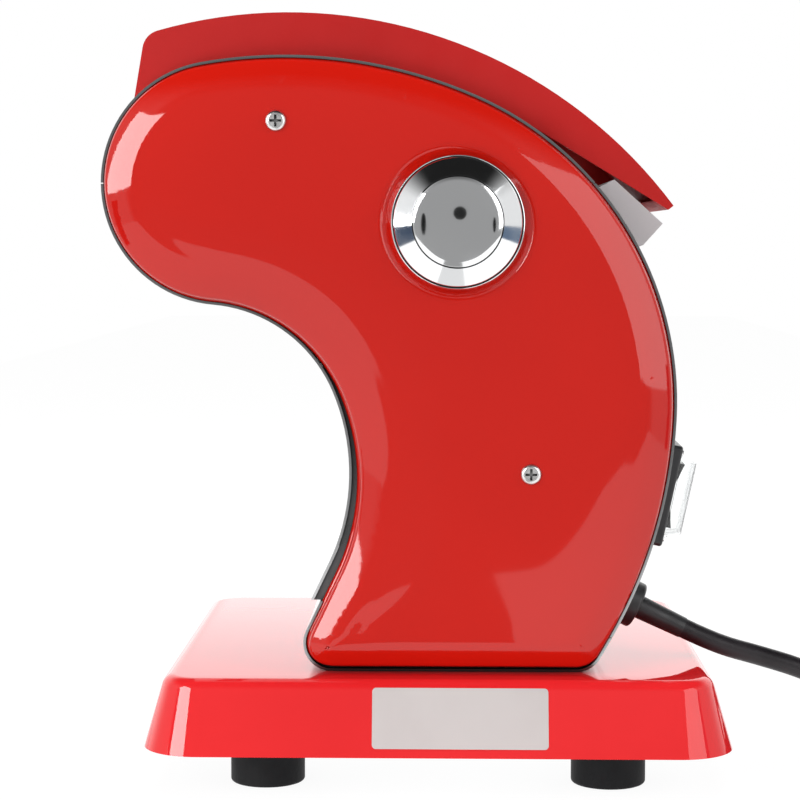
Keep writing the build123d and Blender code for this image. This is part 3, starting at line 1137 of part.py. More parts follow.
COIL_X, COIL_Y = 232.0, 5.0
COIL_MIDDLE = 46.0
COIL_HALF_WIDTH = 10.0
COIL_HEIGHT = 24.0
TIE_WIDTH = 9.0
TIE_SHEET = 1.2
coil_middle_x = COIL_X + COIL_MIDDLE
inside_tie = (2 * COIL_HALF_WIDTH + 2 - 2 * TIE_SHEET, COIL_HEIGHT - 2 * TIE_SHEET)
with BuildPart() as cord_tie:
    with BuildSketch(Plane.XZ.offset(-COIL_Y - TIE_WIDTH / 2)):
        with Locations((coil_middle_x, COIL_HEIGHT / 2)):
            Rectangle(2 * COIL_HALF_WIDTH + 2, COIL_HEIGHT)
            Rectangle(*inside_tie, mode=Mode.SUBTRACT)
    extrude(amount=TIE_WIDTH)
write(cord_tie.part, "cord_tie")

with BuildPart() as cord_coil:
    with BuildSketch():
        with Locations((COIL_X, COIL_Y)):
            Circle(COIL_MIDDLE + COIL_HALF_WIDTH)
            Circle(COIL_MIDDLE - COIL_HALF_WIDTH, mode=Mode.SUBTRACT)
    extrude(amount=COIL_HEIGHT)
    add(cord_tie.part, mode=Mode.SUBTRACT)
    with BuildSketch(Plane.XZ.offset(-COIL_Y - TIE_WIDTH / 2)):
        with Locations((coil_middle_x + COIL_HALF_WIDTH, COIL_HEIGHT / 2)):
            Rectangle(2.2, COIL_HEIGHT)
    extrude(amount=TIE_WIDTH, mode=Mode.SUBTRACT)
    with BuildSketch(Plane.XZ.offset(-COIL_Y - TIE_WIDTH / 2)):
        with Locations((coil_middle_x, COIL_HEIGHT / 2)):
            Rectangle(*inside_tie)
    extrude(amount=TIE_WIDTH)
write(cord_coil.part, "cord_coil")

PLUG_Z = COIL_HEIGHT + 12.0
PLUG_Y = COIL_Y + COIL_MIDDLE - 2
PLUG_CABLE_X = COIL_X + 8.0
PLUG_LENGTH = 36.0
PLUG_WIDTH, PLUG_THICKNESS = 26.0, 24.0
BLADE = (1.6, 6.4, 17.0)
BLADE_SPACING = 12.7
GROUND_PIN = (2.4, 19.0)
plug_end = Plane(origin=(PLUG_CABLE_X - PLUG_LENGTH, PLUG_Y, PLUG_Z), x_dir=(0, 1, 0), z_dir=(-1, 0, 0))
with BuildPart() as plug_body:
    with BuildSketch(plug_end.offset(-PLUG_LENGTH)):
        Circle(CORD_RADIUS + 2)
    with BuildSketch(plug_end.offset(-PLUG_LENGTH + 18)):
        RectangleRounded(PLUG_WIDTH, PLUG_THICKNESS, 8)
    loft()
    with BuildSketch(plug_end.offset(-PLUG_LENGTH + 18)):
        RectangleRounded(PLUG_WIDTH, PLUG_THICKNESS, 8)
    extrude(amount=PLUG_LENGTH - 18)
write(plug_body.part, "plug_body")

with BuildPart() as plug_pins:
    with BuildSketch(plug_end):
        with Locations((-BLADE_SPACING / 2, 3), (BLADE_SPACING / 2, 3)):
            Rectangle(BLADE[0], BLADE[1])
    extrude(amount=BLADE[2])
    with BuildSketch(plug_end):
        with Locations((0, -7)):
            Circle(GROUND_PIN[0])
    extrude(amount=GROUND_PIN[1])
write(plug_pins.part, "plug_pins")
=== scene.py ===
import json
import math

import bmesh
import bpy
import numpy
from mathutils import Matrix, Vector, kdtree

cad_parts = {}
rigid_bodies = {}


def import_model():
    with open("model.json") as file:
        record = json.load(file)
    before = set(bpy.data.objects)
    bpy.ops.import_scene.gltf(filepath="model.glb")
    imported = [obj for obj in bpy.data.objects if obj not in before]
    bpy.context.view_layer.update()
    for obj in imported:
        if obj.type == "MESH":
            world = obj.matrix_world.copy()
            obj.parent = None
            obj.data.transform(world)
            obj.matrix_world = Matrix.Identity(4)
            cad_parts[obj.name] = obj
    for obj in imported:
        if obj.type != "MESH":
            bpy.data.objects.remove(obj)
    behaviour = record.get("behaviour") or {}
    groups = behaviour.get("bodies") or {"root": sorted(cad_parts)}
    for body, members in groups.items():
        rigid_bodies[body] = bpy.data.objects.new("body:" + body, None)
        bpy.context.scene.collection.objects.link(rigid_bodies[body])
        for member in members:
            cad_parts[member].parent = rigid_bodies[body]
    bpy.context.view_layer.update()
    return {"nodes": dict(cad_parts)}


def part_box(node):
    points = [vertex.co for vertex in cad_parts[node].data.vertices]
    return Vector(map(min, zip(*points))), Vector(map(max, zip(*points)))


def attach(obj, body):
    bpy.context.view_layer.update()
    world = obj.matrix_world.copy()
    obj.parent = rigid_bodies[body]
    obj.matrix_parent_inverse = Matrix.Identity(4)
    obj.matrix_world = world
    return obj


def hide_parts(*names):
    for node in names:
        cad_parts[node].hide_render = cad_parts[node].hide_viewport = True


for leftover in list(bpy.data.objects):
    bpy.data.objects.remove(leftover)
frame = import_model()
nodes = frame["nodes"]
scene = bpy.context.scene
scene.view_settings.view_transform = "Standard"

# ==== studio ====
# A pale table top in a light tent. The tent is white at the sides and behind the machine, dim over
# it and behind the camera, which is what gives polished metal and enamel their dark and bright parts.
CAMERA_SPOT = (0.0142, -0.917, 0.21246)
CAMERA_TURN = (math.radians(90 - 4.2605), 0.0, math.radians(1.436))
SENSOR_WIDTH = 36.0
FOCAL_PIXELS = 2188.0
PICTURE_PIXELS = 800.0
TABLE_FRONT = -0.158
TABLE_BACK = 5.0
TABLE_HALF_WIDTH = 0.75
TABLE_COLOUR = (0.86, 0.86, 0.86, 1.0)
TABLE_SHOWN_WHITE = 0.86
TABLE_SHOWN_GLOW = 1.07
TENT_FILL = 0.55
SIDE_GREY = 0.85
BACKDROP_GLARE = 1.7
CAMERA_SIDE_GREY = 0.35
TABLE_GLARE = 1.25
OVERHEAD_DARK = 0.015
CAMERA_SIDE_FADE = (0.66, 0.80)
BACKDROP_FADE = (0.10, 0.60)
OVERHEAD_FADE = (0.42, 0.80)
HEAD = (-0.02, -0.09, 0.22)


def link(tree, source, target):
    """Join two sockets of a node tree, given as (node, socket name)."""
    tree.links.new(source[0].outputs[source[1]], target[0].inputs[target[1]])


def arithmetic(tree, operation, first, second=None, third=None):
    """A Math node over sockets, given as (node, name), or plain numbers; returns its output."""
    node = tree.nodes.new("ShaderNodeMath")
    node.operation = operation
    for place, value in enumerate((first, second, third)):
        if isinstance(value, tuple):
            tree.links.new(value[0].outputs[value[1]], node.inputs[place])
        elif value is not None:
            node.inputs[place].default_value = value
    return (node, "Value")


def fade(tree, value, low, high):
    """0 below low, 1 above high, and smooth between."""
    node = tree.nodes.new("ShaderNodeMapRange")
    node.interpolation_type = "SMOOTHSTEP"
    node.inputs["From Min"].default_value = low
    node.inputs["From Max"].default_value = high
    link(tree, value, (node, "Value"))
    return (node, "Result")


camera_data = bpy.data.cameras.new("camera")
camera_data.sensor_fit = "HORIZONTAL"
camera_data.sensor_width = SENSOR_WIDTH
camera_data.lens = FOCAL_PIXELS * SENSOR_WIDTH / PICTURE_PIXELS
camera = bpy.data.objects.new("camera", camera_data)
camera.location = CAMERA_SPOT
camera.rotation_euler = CAMERA_TURN
scene.collection.objects.link(camera)
scene.camera = camera

tent = bpy.data.worlds.new("tent")
tent.use_nodes = True
scene.world = tent
tree = tent.node_tree
tree.nodes.clear()
direction = tree.nodes.new("ShaderNodeTexCoord")
axes = tree.nodes.new("ShaderNodeSeparateXYZ")
link(tree, (direction, "Generated"), (axes, "Vector"))
towards_camera = arithmetic(tree, "MULTIPLY", (axes, "Y"), -1.0)
camera_side = fade(tree, towards_camera, *CAMERA_SIDE_FADE)
behind = fade(tree, (axes, "Y"), *BACKDROP_FADE)
overhead = fade(tree, (axes, "Z"), *OVERHEAD_FADE)
dimmed = arithmetic(tree, "MULTIPLY_ADD", behind, BACKDROP_GLARE - SIDE_GREY, SIDE_GREY)
dimmed = arithmetic(tree, "MULTIPLY_ADD", camera_side, CAMERA_SIDE_GREY - SIDE_GREY, dimmed)
roof = arithmetic(tree, "MULTIPLY_ADD", overhead, OVERHEAD_DARK - 1.0, 1.0)
dimmed = arithmetic(tree, "MULTIPLY", dimmed, roof)
rays = tree.nodes.new("ShaderNodeLightPath")
seen = arithmetic(tree, "MAXIMUM", (rays, "Is Camera Ray"), (rays, "Is Transmission Ray"))
level = tree.nodes.new("ShaderNodeMix")
level.inputs[2].default_value = TENT_FILL
link(tree, (rays, "Is Glossy Ray"), (level, "Factor"))
tree.links.new(dimmed[0].outputs["Value"], level.inputs[3])
shown = tree.nodes.new("ShaderNodeMix")
tree.links.new(seen[0].outputs["Value"], shown.inputs["Factor"])
tree.links.new(level.outputs[0], shown.inputs[2])
shown.inputs[3].default_value = 1.0
tent_glow = tree.nodes.new("ShaderNodeBackground")
tent_glow.inputs["Color"].default_value = (1.0, 1.0, 1.0, 1.0)
tree.links.new(shown.outputs[0], tent_glow.inputs["Strength"])
tent_out = tree.nodes.new("ShaderNodeOutputWorld")
link(tree, (tent_glow, "Background"), (tent_out, "Surface"))

table_mesh = bmesh.new()
corners = [(-TABLE_HALF_WIDTH, TABLE_FRONT), (TABLE_HALF_WIDTH, TABLE_FRONT),
           (TABLE_HALF_WIDTH, TABLE_BACK), (-TABLE_HALF_WIDTH, TABLE_BACK)]
table_mesh.faces.new([table_mesh.verts.new((x, y, 0.0)) for x, y in corners])
table_data = bpy.data.meshes.new("table")
table_mesh.to_mesh(table_data)
table_mesh.free()
table = bpy.data.objects.new("table", table_data)
scene.collection.objects.link(table)
table_finish = bpy.data.materials.new("pale_table")
table_finish.use_nodes = True
tree = table_finish.node_tree
paper = tree.nodes["Principled BSDF"]
paper.inputs["Base Color"].default_value = TABLE_COLOUR
paper.inputs["Roughness"].default_value = 0.9
paper.inputs["Specular IOR Level"].default_value = 0.0
rays = tree.nodes.new("ShaderNodeLightPath")
direct = arithmetic(tree, "MAXIMUM", (rays, "Is Camera Ray"), (rays, "Is Transmission Ray"))
mirrored = arithmetic(tree, "MULTIPLY_ADD", (rays, "Is Glossy Ray"), TABLE_GLARE - TABLE_SHOWN_GLOW,
                      TABLE_SHOWN_GLOW)
glow = tree.nodes.new("ShaderNodeEmission")
link(tree, mirrored, (glow, "Strength"))
lit = tree.nodes.new("ShaderNodeMixShader")
shown_share = arithmetic(tree, "MULTIPLY", direct, TABLE_SHOWN_WHITE)
link(tree, arithmetic(tree, "MAXIMUM", shown_share, (rays, "Is Glossy Ray")), (lit, "Fac"))
tree.links.new(paper.outputs["BSDF"], lit.inputs[1])
tree.links.new(glow.outputs["Emission"], lit.inputs[2])
link(tree, (lit, "Shader"), (tree.nodes["Material Output"], "Surface"))
table_data.materials.append(table_finish)


def aim(thing, target):
    """Turn a lamp so that it shines at a point."""
    way = Vector(target) - thing.location
    thing.rotation_euler = way.to_track_quat("-Z", "Y").to_euler()


def lamp(name, spot, target, size, watts):
    """A soft square lamp that lights the machine but isn't mirrored in it."""
    data = bpy.data.lights.new(name, "AREA")
    data.shape = "RECTANGLE"
    data.size, data.size_y = size
    data.energy = watts
    holder = bpy.data.objects.new(name, data)
    holder.location = spot
    scene.collection.objects.link(holder)
    aim(holder, target)
    holder.visible_glossy = False
    holder.visible_camera = False


def card(name, corners, strength, colour=(1.0, 1.0, 1.0)):
    """A flat card that only mirrors in polished surfaces: a softbox face, or a dark stand."""
    sheet = bmesh.new()
    sheet.faces.new([sheet.verts.new(corner) for corner in corners])
    data = bpy.data.meshes.new(name)
    sheet.to_mesh(data)
    sheet.free()
    holder = bpy.data.objects.new(name, data)
    scene.collection.objects.link(holder)
    surface = bpy.data.materials.new(name)
    surface.use_nodes = True
    shine = surface.node_tree.nodes.new("ShaderNodeEmission")
    shine.inputs["Color"].default_value = (*colour, 1.0)
    shine.inputs["Strength"].default_value = strength
    link(surface.node_tree, (shine, "Emission"), (surface.node_tree.nodes["Material Output"], "Surface"))
    data.materials.append(surface)
    holder.visible_diffuse = False
    holder.visible_camera = False
    holder.visible_shadow = False
    holder.visible_transmission = False


def seen_at(azimuth, rise, away):
    """A point seen from the head at an azimuth off the front and a rise, both in degrees."""
    turn, tilt = math.radians(azimuth), math.radians(rise)
    level_away = away * math.cos(tilt)
    return (HEAD[0] + level_away * math.sin(turn), HEAD[1] - level_away * math.cos(turn),
            HEAD[2] + away * math.sin(tilt))


def sideways(x, y, z, depth, height):
    """Corners of an upright rectangle that faces the side."""
    signs = ((-1, -1), (1, -1), (1, 1), (-1, 1))
    return [(x, y + side * depth / 2, z + up * height / 2) for side, up in signs]


def flat(*corners):
    """Corners of a card lying at table height."""
    return [(x, y, 0.0) for x, y in corners]


def oval(x, y, z, width, height):
    """Corners of an upright oval that faces the front."""
    turns = [2 * math.pi * step / 32 for step in range(32)]
    return [(x + width / 2 * math.cos(turn), y, z + height / 2 * math.sin(turn)) for turn in turns]


lamp("left_lamp", (-1.1, -1.1, 0.9), HEAD, (0.9, 0.9), 8.5)
lamp("right_lamp", (1.3, -0.7, 0.8), HEAD, (0.7, 0.9), 4.5)
lamp("top_lamp", (0.0, 0.1, 1.6), HEAD, (1.4, 1.0), 10.0)
lamp("low_lamp", (-0.25, -0.72, 0.02), (0.0, -0.09, 0.08), (0.5, 0.3), 1.2)
left_window = ((-37, 1), (-26, 22), (-56, 32), (-72, -3))
right_window = ((29, -4), (26, 30), (66, 36), (66, -4))
card("left_softbox", [seen_at(*corner, 1.4) for corner in left_window], 11.0)
card("right_softbox", [seen_at(*corner, 1.5) for corner in right_window], 2.8)
card("left_floor", flat((-0.75, TABLE_FRONT), (-0.06, TABLE_FRONT), (-0.06, -0.62), (-0.22, -0.85),
                        (-0.75, -0.95)), 1.25)
card("right_floor", flat((0.78, TABLE_FRONT), (0.04, TABLE_FRONT), (0.04, -0.62), (0.25, -0.85),
                         (0.78, -0.95)), 1.25)
card("lens", oval(0.0170, -0.1545, 0.2256, 0.0108, 0.0108), 0.02)
card("left_stand", oval(-0.0044, -0.1253, 0.2170, 0.0030, 0.0126), 0.005)
card("right_stand", oval(0.0363, -0.1253, 0.2165, 0.0019, 0.0088), 0.005)
card("left_shade", sideways(-0.44, -0.265, 0.108, 0.05, 0.16), 0.10, (0.25, 0.50, 1.0))
card("right_shade", sideways(0.48, -0.269, 0.118, 0.05, 0.13), 0.22, (0.35, 0.60, 1.0))


# ==== mains lead ====
# A black rubber lead, 8 mm thick, that leaves a round gland at the back of the machine. What isn't
# needed is wound into a coil behind the machine, held by a strap, with the plug lying on it.
LEAD_DIAMETER = 0.008
LEAD_EXIT = (0.105746, -0.045, 0.056040)
LEAD_ROUTE = [
    LEAD_EXIT,
    (0.1193, -0.0450, 0.0495),
    (0.1360, -0.0454, 0.0452),
    (0.1550, -0.0466, 0.0396),
    (0.1750, -0.0476, 0.0304),
    (0.1920, -0.0470, 0.0190),
    (0.2070, -0.0458, 0.0086),
    (0.2240, -0.0450, 0.0041),
]
COIL_CENTRE = (0.232, 0.005)
COIL_START = -83.0
COIL_TURNS = 4.36
POINTS_A_TURN = 16
OUTER_LAY, MIDDLE_LAY, INNER_LAY = 0.0503, 0.0460, 0.0417
LAYER_HEIGHTS = (0.0041, 0.0120, 0.0187)
TURNS_GOING_IN, TURNS_GOING_OUT, TURNS_TO_GROOVE = (0.80, 0.95), (2.45, 2.62), (3.33, 3.45)
TURNS_CLIMBING, TURNS_CLIMBING_AGAIN, CLIMB_TO_PLUG = (1.62, 1.80), (3.22, 3.40), (4.22, COIL_TURNS)
PLUG_TAIL = (0.240, 0.049, 0.036)


def ease(turn, start, end):
    """0 before start, 1 after end, and smooth between."""
    share = min(1.0, max(0.0, (turn - start) / (end - start)))
    return share * share * (3 - 2 * share)


def coil_point(turn):
    """Where the lead is after so many turns: out, in, up, out, then up into the groove on top."""
    radius = OUTER_LAY
    radius += (INNER_LAY - OUTER_LAY) * ease(turn, *TURNS_GOING_IN)
    radius += (OUTER_LAY - INNER_LAY) * ease(turn, *TURNS_GOING_OUT)
    radius += (MIDDLE_LAY - OUTER_LAY) * ease(turn, *TURNS_TO_GROOVE)
    height = LAYER_HEIGHTS[0]
    height += (LAYER_HEIGHTS[1] - LAYER_HEIGHTS[0]) * ease(turn, *TURNS_CLIMBING)
    height += (LAYER_HEIGHTS[2] - LAYER_HEIGHTS[1]) * ease(turn, *TURNS_CLIMBING_AGAIN)
    height += (PLUG_TAIL[2] - LAYER_HEIGHTS[2]) * ease(turn, *CLIMB_TO_PLUG)
    angle = math.radians(COIL_START + 360.0 * turn)
    x, y = COIL_CENTRE
    return (x + radius * math.cos(angle), y + radius * math.sin(angle), height)


coil_route = [coil_point(step / POINTS_A_TURN) for step in range(int(COIL_TURNS * POINTS_A_TURN) + 1)]
tail_route = [(PLUG_TAIL[0] + 0.014, PLUG_TAIL[1] + 0.0002, PLUG_TAIL[2]), PLUG_TAIL]
route = LEAD_ROUTE + coil_route + tail_route
lead_curve = bpy.data.curves.new("mains_lead", "CURVE")
lead_curve.dimensions = "3D"
# The thickness is in the points' radius: the curve's bounds take that radius in metres, whatever the bevel.
lead_curve.bevel_depth = 1.0
lead_curve.bevel_resolution = 6
lead_curve.resolution_u = 6
lead_curve.use_fill_caps = True
lay = lead_curve.splines.new("NURBS")
lay.points.add(len(route) - 1)
for point, place in zip(lay.points, route):
    point.co = (*place, 1.0)
    point.radius = LEAD_DIAMETER / 2
lay.order_u = 3
lay.use_endpoint_u = True
mains_lead = bpy.data.objects.new("mains_lead", lead_curve)
scene.collection.objects.link(mains_lead)
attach(mains_lead, "root")
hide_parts("power_cord", "cord_coil")


def noise_group(name, detail):
    """A node group that turns a place into a slow random value and a height, both 0 to 1."""
    group = bpy.data.node_groups.new(name, "ShaderNodeTree")
    for socket, way, kind in (("Place", "INPUT", "Vector"), ("Scale", "INPUT", "Float"),
                              ("Low", "INPUT", "Color"), ("High", "INPUT", "Color"),
                              ("Colour", "OUTPUT", "Color"), ("Height", "OUTPUT", "Float")):
        group.interface.new_socket(socket, in_out=way, socket_type="NodeSocket" + kind)
    inside = group.nodes.new("NodeGroupInput")
    outside = group.nodes.new("NodeGroupOutput")
    noise = group.nodes.new("ShaderNodeTexNoise")
    noise.inputs["Detail"].default_value = detail
    link(group, (inside, "Place"), (noise, "Vector"))
    link(group, (inside, "Scale"), (noise, "Scale"))
    blend = group.nodes.new("ShaderNodeMix")
    blend.data_type = "RGBA"
    spread = fade(group, (noise, "Fac"), 0.32, 0.68)
    group.links.new(spread[0].outputs["Result"], blend.inputs["Factor"])
    group.links.new(inside.outputs["Low"], blend.inputs[6])
    group.links.new(inside.outputs["High"], blend.inputs[7])
    group.links.new(blend.outputs[2], outside.inputs["Colour"])
    link(group, (noise, "Fac"), (outside, "Height"))
    return group


mottle = noise_group("mottle", 4.0)
grain = noise_group("grain", 1.0)


def finish(name, colour, roughness, metallic=0.0, **sockets):
    """A material with plain values on its shader; socket names have _ for a space."""
    material = bpy.data.materials.new(name)
    material.use_nodes = True
    shader = material.node_tree.nodes["Principled BSDF"]
    shader.inputs["Base Color"].default_value = (*colour, 1.0)
    shader.inputs["Roughness"].default_value = roughness
    shader.inputs["Metallic"].default_value = metallic
    for socket, value in sockets.items():
        shader.inputs[socket.replace("_", " ")].default_value = value
    return material


def place_on(material, stretch=(1.0, 1.0, 1.0)):
    """The piece's own place, stretched, as the input of a pattern."""
    tree = material.node_tree
    where = tree.nodes.new("ShaderNodeTexCoord")
    mapping = tree.nodes.new("ShaderNodeMapping")
    mapping.inputs["Scale"].default_value = stretch
    link(tree, (where, "Object"), (mapping, "Vector"))
    return (mapping, "Vector")


def colour_drift(material, low, high, scale, stretch=(1.0, 1.0, 1.0)):
    """Colour that drifts between two shades over the surface."""
    tree = material.node_tree
    node = tree.nodes.new("ShaderNodeGroup")
    node.node_tree = mottle
    node.inputs["Scale"].default_value = scale
    node.inputs["Low"].default_value = (*low, 1.0)
    node.inputs["High"].default_value = (*high, 1.0)
    link(tree, place_on(material, stretch), (node, "Place"))
    link(tree, (node, "Colour"), (tree.nodes["Principled BSDF"], "Base Color"))


def roughness_drift(material, low, high, scale, stretch=(1.0, 1.0, 1.0)):
    """Roughness that drifts between two values, as where a surface was rubbed or handled."""
    tree = material.node_tree
    node = tree.nodes.new("ShaderNodeGroup")
    node.node_tree = mottle
    node.inputs["Scale"].default_value = scale
    link(tree, place_on(material, stretch), (node, "Place"))
    span = tree.nodes.new("ShaderNodeMapRange")
    span.inputs["From Min"].default_value = 0.3
    span.inputs["From Max"].default_value = 0.7
    span.inputs["To Min"].default_value = low
    span.inputs["To Max"].default_value = high
    link(tree, (node, "Height"), (span, "Value"))
    link(tree, (span, "Result"), (tree.nodes["Principled BSDF"], "Roughness"))


def relief(material, scale, depth, stretch=(1.0, 1.0, 1.0), coat=False):
    """Fine relief of a given depth in metres, from the grain group."""
    tree = material.node_tree
    node = tree.nodes.new("ShaderNodeGroup")
    node.node_tree = grain
    node.inputs["Scale"].default_value = scale
    link(tree, place_on(material, stretch), (node, "Place"))
    bump = tree.nodes.new("ShaderNodeBump")
    bump.inputs["Distance"].default_value = depth
    link(tree, (node, "Height"), (bump, "Height"))
    link(tree, (bump, "Normal"), (tree.nodes["Principled BSDF"], "Normal"))
    if coat:
        link(tree, (bump, "Normal"), (tree.nodes["Principled BSDF"], "Coat Normal"))


def paint_recess_shade(material, distance, power):
    """Paint shade into a material's base colour where it faces something near, as in a gap or a recess."""
    tree = material.node_tree
    shader = tree.nodes["Principled BSDF"]
    closeness = tree.nodes.new("ShaderNodeAmbientOcclusion")
    closeness.samples = 8
    closeness.inputs["Distance"].default_value = distance
    darker = tree.nodes.new("ShaderNodeMix")
    darker.data_type = "RGBA"
    darker.blend_type = "MULTIPLY"
    darker.inputs["Factor"].default_value = 1.0
    shade = tree.nodes.new("ShaderNodeCombineColor")
    depth = arithmetic(tree, "POWER", (closeness, "AO"), power)
    for channel in ("Red", "Green", "Blue"):
        link(tree, depth, (shade, channel))
    was = shader.inputs["Base Color"]
    if was.is_linked:
        tree.links.new(was.links[0].from_socket, darker.inputs[6])
    else:
        darker.inputs[6].default_value = was.default_value
    tree.links.new(shade.outputs["Color"], darker.inputs[7])
    tree.links.new(darker.outputs[2], was)


def dress(material, *names):
    """Give CAD nodes a material."""
    for name in names:
        slots = nodes[name].data.materials
        for index in range(len(slots)):
            slots[index] = material


lead_rubber = finish("lead_rubber", (0.012, 0.010, 0.012), 0.42, Specular_IOR_Level=0.4)
colour_drift(lead_rubber, (0.009, 0.007, 0.009), (0.017, 0.014, 0.017), 60.0)
roughness_drift(lead_rubber, 0.34, 0.5, 180.0)
relief(lead_rubber, 900.0, 0.00006)
lead_curve.materials.append(lead_rubber)
moulded_black = finish("moulded_black", (0.014, 0.014, 0.015), 0.38)
colour_drift(moulded_black, (0.012, 0.012, 0.013), (0.022, 0.022, 0.024), 90.0)
roughness_drift(moulded_black, 0.32, 0.48, 260.0)
relief(moulded_black, 1400.0, 0.00004)
dress(moulded_black, "cord_gland", "cord_tie", "plug_body")
pin_nickel = finish("nickel_pins", (0.72, 0.70, 0.66), 0.22, 1.0)
roughness_drift(pin_nickel, 0.16, 0.34, 400.0)
dress(pin_nickel, "plug_pins")


# ==== foot ====
# A pan pressed from one steel sheet and enamelled red, with a bottom plate inside it and four black
# rubber feet screwed up through the plate. A blank white sticker is on its front skirt.
PAN_LOW, PAN_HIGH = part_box("base_pan")
PAN_DRAFT = math.radians(16.3)
PAN_CORNER = 0.022
PAN_EDGE = 0.005
PAN_WALL = 0.0016
CORNER_STEPS = 20
EDGE_STEPS = 8
pan_size = PAN_HIGH - PAN_LOW


def piece(name, shape, body, slot, material, *replaced, sharp=40.0):
    """Turn a bmesh into a piece that rides on a body and stands for CAD nodes."""
    bmesh.ops.recalc_face_normals(shape, faces=shape.faces)
    for face in shape.faces:
        face.smooth = True
    for edge in shape.edges:
        edge.smooth = edge.is_manifold and edge.calc_face_angle() < math.radians(sharp)
    mesh = bpy.data.meshes.new(name)
    shape.to_mesh(mesh)
    shape.free()
    mesh.materials.append(material)
    made = bpy.data.objects.new(name, mesh)
    scene.collection.objects.link(made)
    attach(made, body)
    if replaced:
        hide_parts(*replaced)
    return made


def wall(made, thickness):
    """Give an open shell its thickness, on the side that its normals face away from."""
    solid = made.modifiers.new("wall", "SOLIDIFY")
    solid.thickness = thickness
    solid.offset = -1.0


def round_corners(shape, corners, radius, steps):
    """Round some corners of a flat outline."""
    for corner in corners:
        first, second = [edge.other_vert(corner).co - corner.co for edge in corner.link_edges]
        reach = radius / math.tan(first.angle(second) / 2)
        bmesh.ops.bevel(shape, geom=[corner], offset=reach, offset_type="OFFSET", segments=steps,
                        profile=0.5, affect="VERTICES", material=-1)


pan = bmesh.new()
middle = (PAN_LOW + PAN_HIGH) / 2
bmesh.ops.create_grid(pan, x_segments=1, y_segments=1, size=0.5)
bmesh.ops.scale(pan, vec=(pan_size.x, pan_size.y, 1.0), verts=pan.verts)
bmesh.ops.translate(pan, vec=(middle.x, middle.y, PAN_LOW.z), verts=pan.verts)
bmesh.ops.bevel(pan, geom=pan.verts[:], offset=PAN_CORNER, offset_type="OFFSET", segments=CORNER_STEPS,
                profile=0.5, affect="VERTICES", material=-1)
top = pan.faces[:]
skirt_rise = pan_size.z - PAN_EDGE * (1 - math.sin(PAN_DRAFT))
bmesh.ops.inset_region(pan, faces=top, thickness=skirt_rise * math.tan(PAN_DRAFT), depth=skirt_rise,
                       use_even_offset=True, use_boundary=True)
for step in range(EDGE_STEPS):
    low_angle = PAN_DRAFT + (math.pi / 2 - PAN_DRAFT) * step / EDGE_STEPS
    high_angle = PAN_DRAFT + (math.pi / 2 - PAN_DRAFT) * (step + 1) / EDGE_STEPS
    inwards = PAN_EDGE * (math.cos(low_angle) - math.cos(high_angle))
    upwards = PAN_EDGE * (math.sin(high_angle) - math.sin(low_angle))
    bmesh.ops.inset_region(pan, faces=top, thickness=inwards, depth=upwards, use_even_offset=True,
                           use_boundary=True)
pan_enamel = finish("pan_enamel", (0.80, 0.020, 0.024), 0.30, Coat_Weight=1.0, Coat_Roughness=0.03,
                    Coat_IOR=1.5, Specular_IOR_Level=0.0)
colour_drift(pan_enamel, (0.77, 0.018, 0.021), (0.83, 0.022, 0.026), 9.0)
relief(pan_enamel, 14.0, 0.00008, coat=True)
pan_piece = piece("pan_pressing", pan, "root", "pan_red", pan_enamel, "base_pan", sharp=60.0)
wall(pan_piece, PAN_WALL)

foot_rubber = finish("foot_rubber", (0.009, 0.009, 0.010), 0.62, Specular_IOR_Level=0.15)
colour_drift(foot_rubber, (0.007, 0.007, 0.008), (0.014, 0.014, 0.015), 40.0)
relief(foot_rubber, 700.0, 0.00012)
dress(foot_rubber, "rubber_feet")
sticker = finish("sticker", (0.60, 0.55, 0.54), 0.32, Coat_Weight=0.3, Coat_Roughness=0.15)
colour_drift(sticker, (0.58, 0.53, 0.52), (0.62, 0.57, 0.56), 25.0)
dress(sticker, "base_label")


# ==== frame ====
# Two zinc-plated steel side frames, tied by rods and standing on two bars that are screwed
# to the pan. Everything that turns is carried in bronze bushes in the frames.
zinc = finish("zinc_plate", (0.56, 0.57, 0.58), 0.34, 1.0)
colour_drift(zinc, (0.48, 0.49, 0.50), (0.64, 0.65, 0.66), 35.0)
roughness_drift(zinc, 0.26, 0.46, 60.0)
relief(zinc, 300.0, 0.00003)
# Painted shade: the zinc's colour is darkened where it faces a near part, in gaps and recesses.
paint_recess_shade(zinc, 0.006, 2.5)
dress(zinc, "knob_side_frame", "gear_side_frame", "tie_rods", "mount_bars", "base_plate", "foot_posts",
      "cover_standoffs", "idler_studs", "adjusting_yoke")
screw_steel = finish("screw_steel", (0.74, 0.74, 0.73), 0.26, 1.0)
roughness_drift(screw_steel, 0.2, 0.36, 300.0)
# Painted shade: the screws' colour is darkened in their recesses.
paint_recess_shade(screw_steel, 0.0015, 2.0)
dress(screw_steel, "foot_screws", "body_mount_screws", "frame_screws")
bronze = finish("bush_bronze", (0.60, 0.40, 0.20), 0.36, 1.0)
colour_drift(bronze, (0.52, 0.33, 0.16), (0.68, 0.48, 0.26), 120.0)
dress(bronze, "fixed_roller_bushes", "floating_bushes", "cutter_bushes")


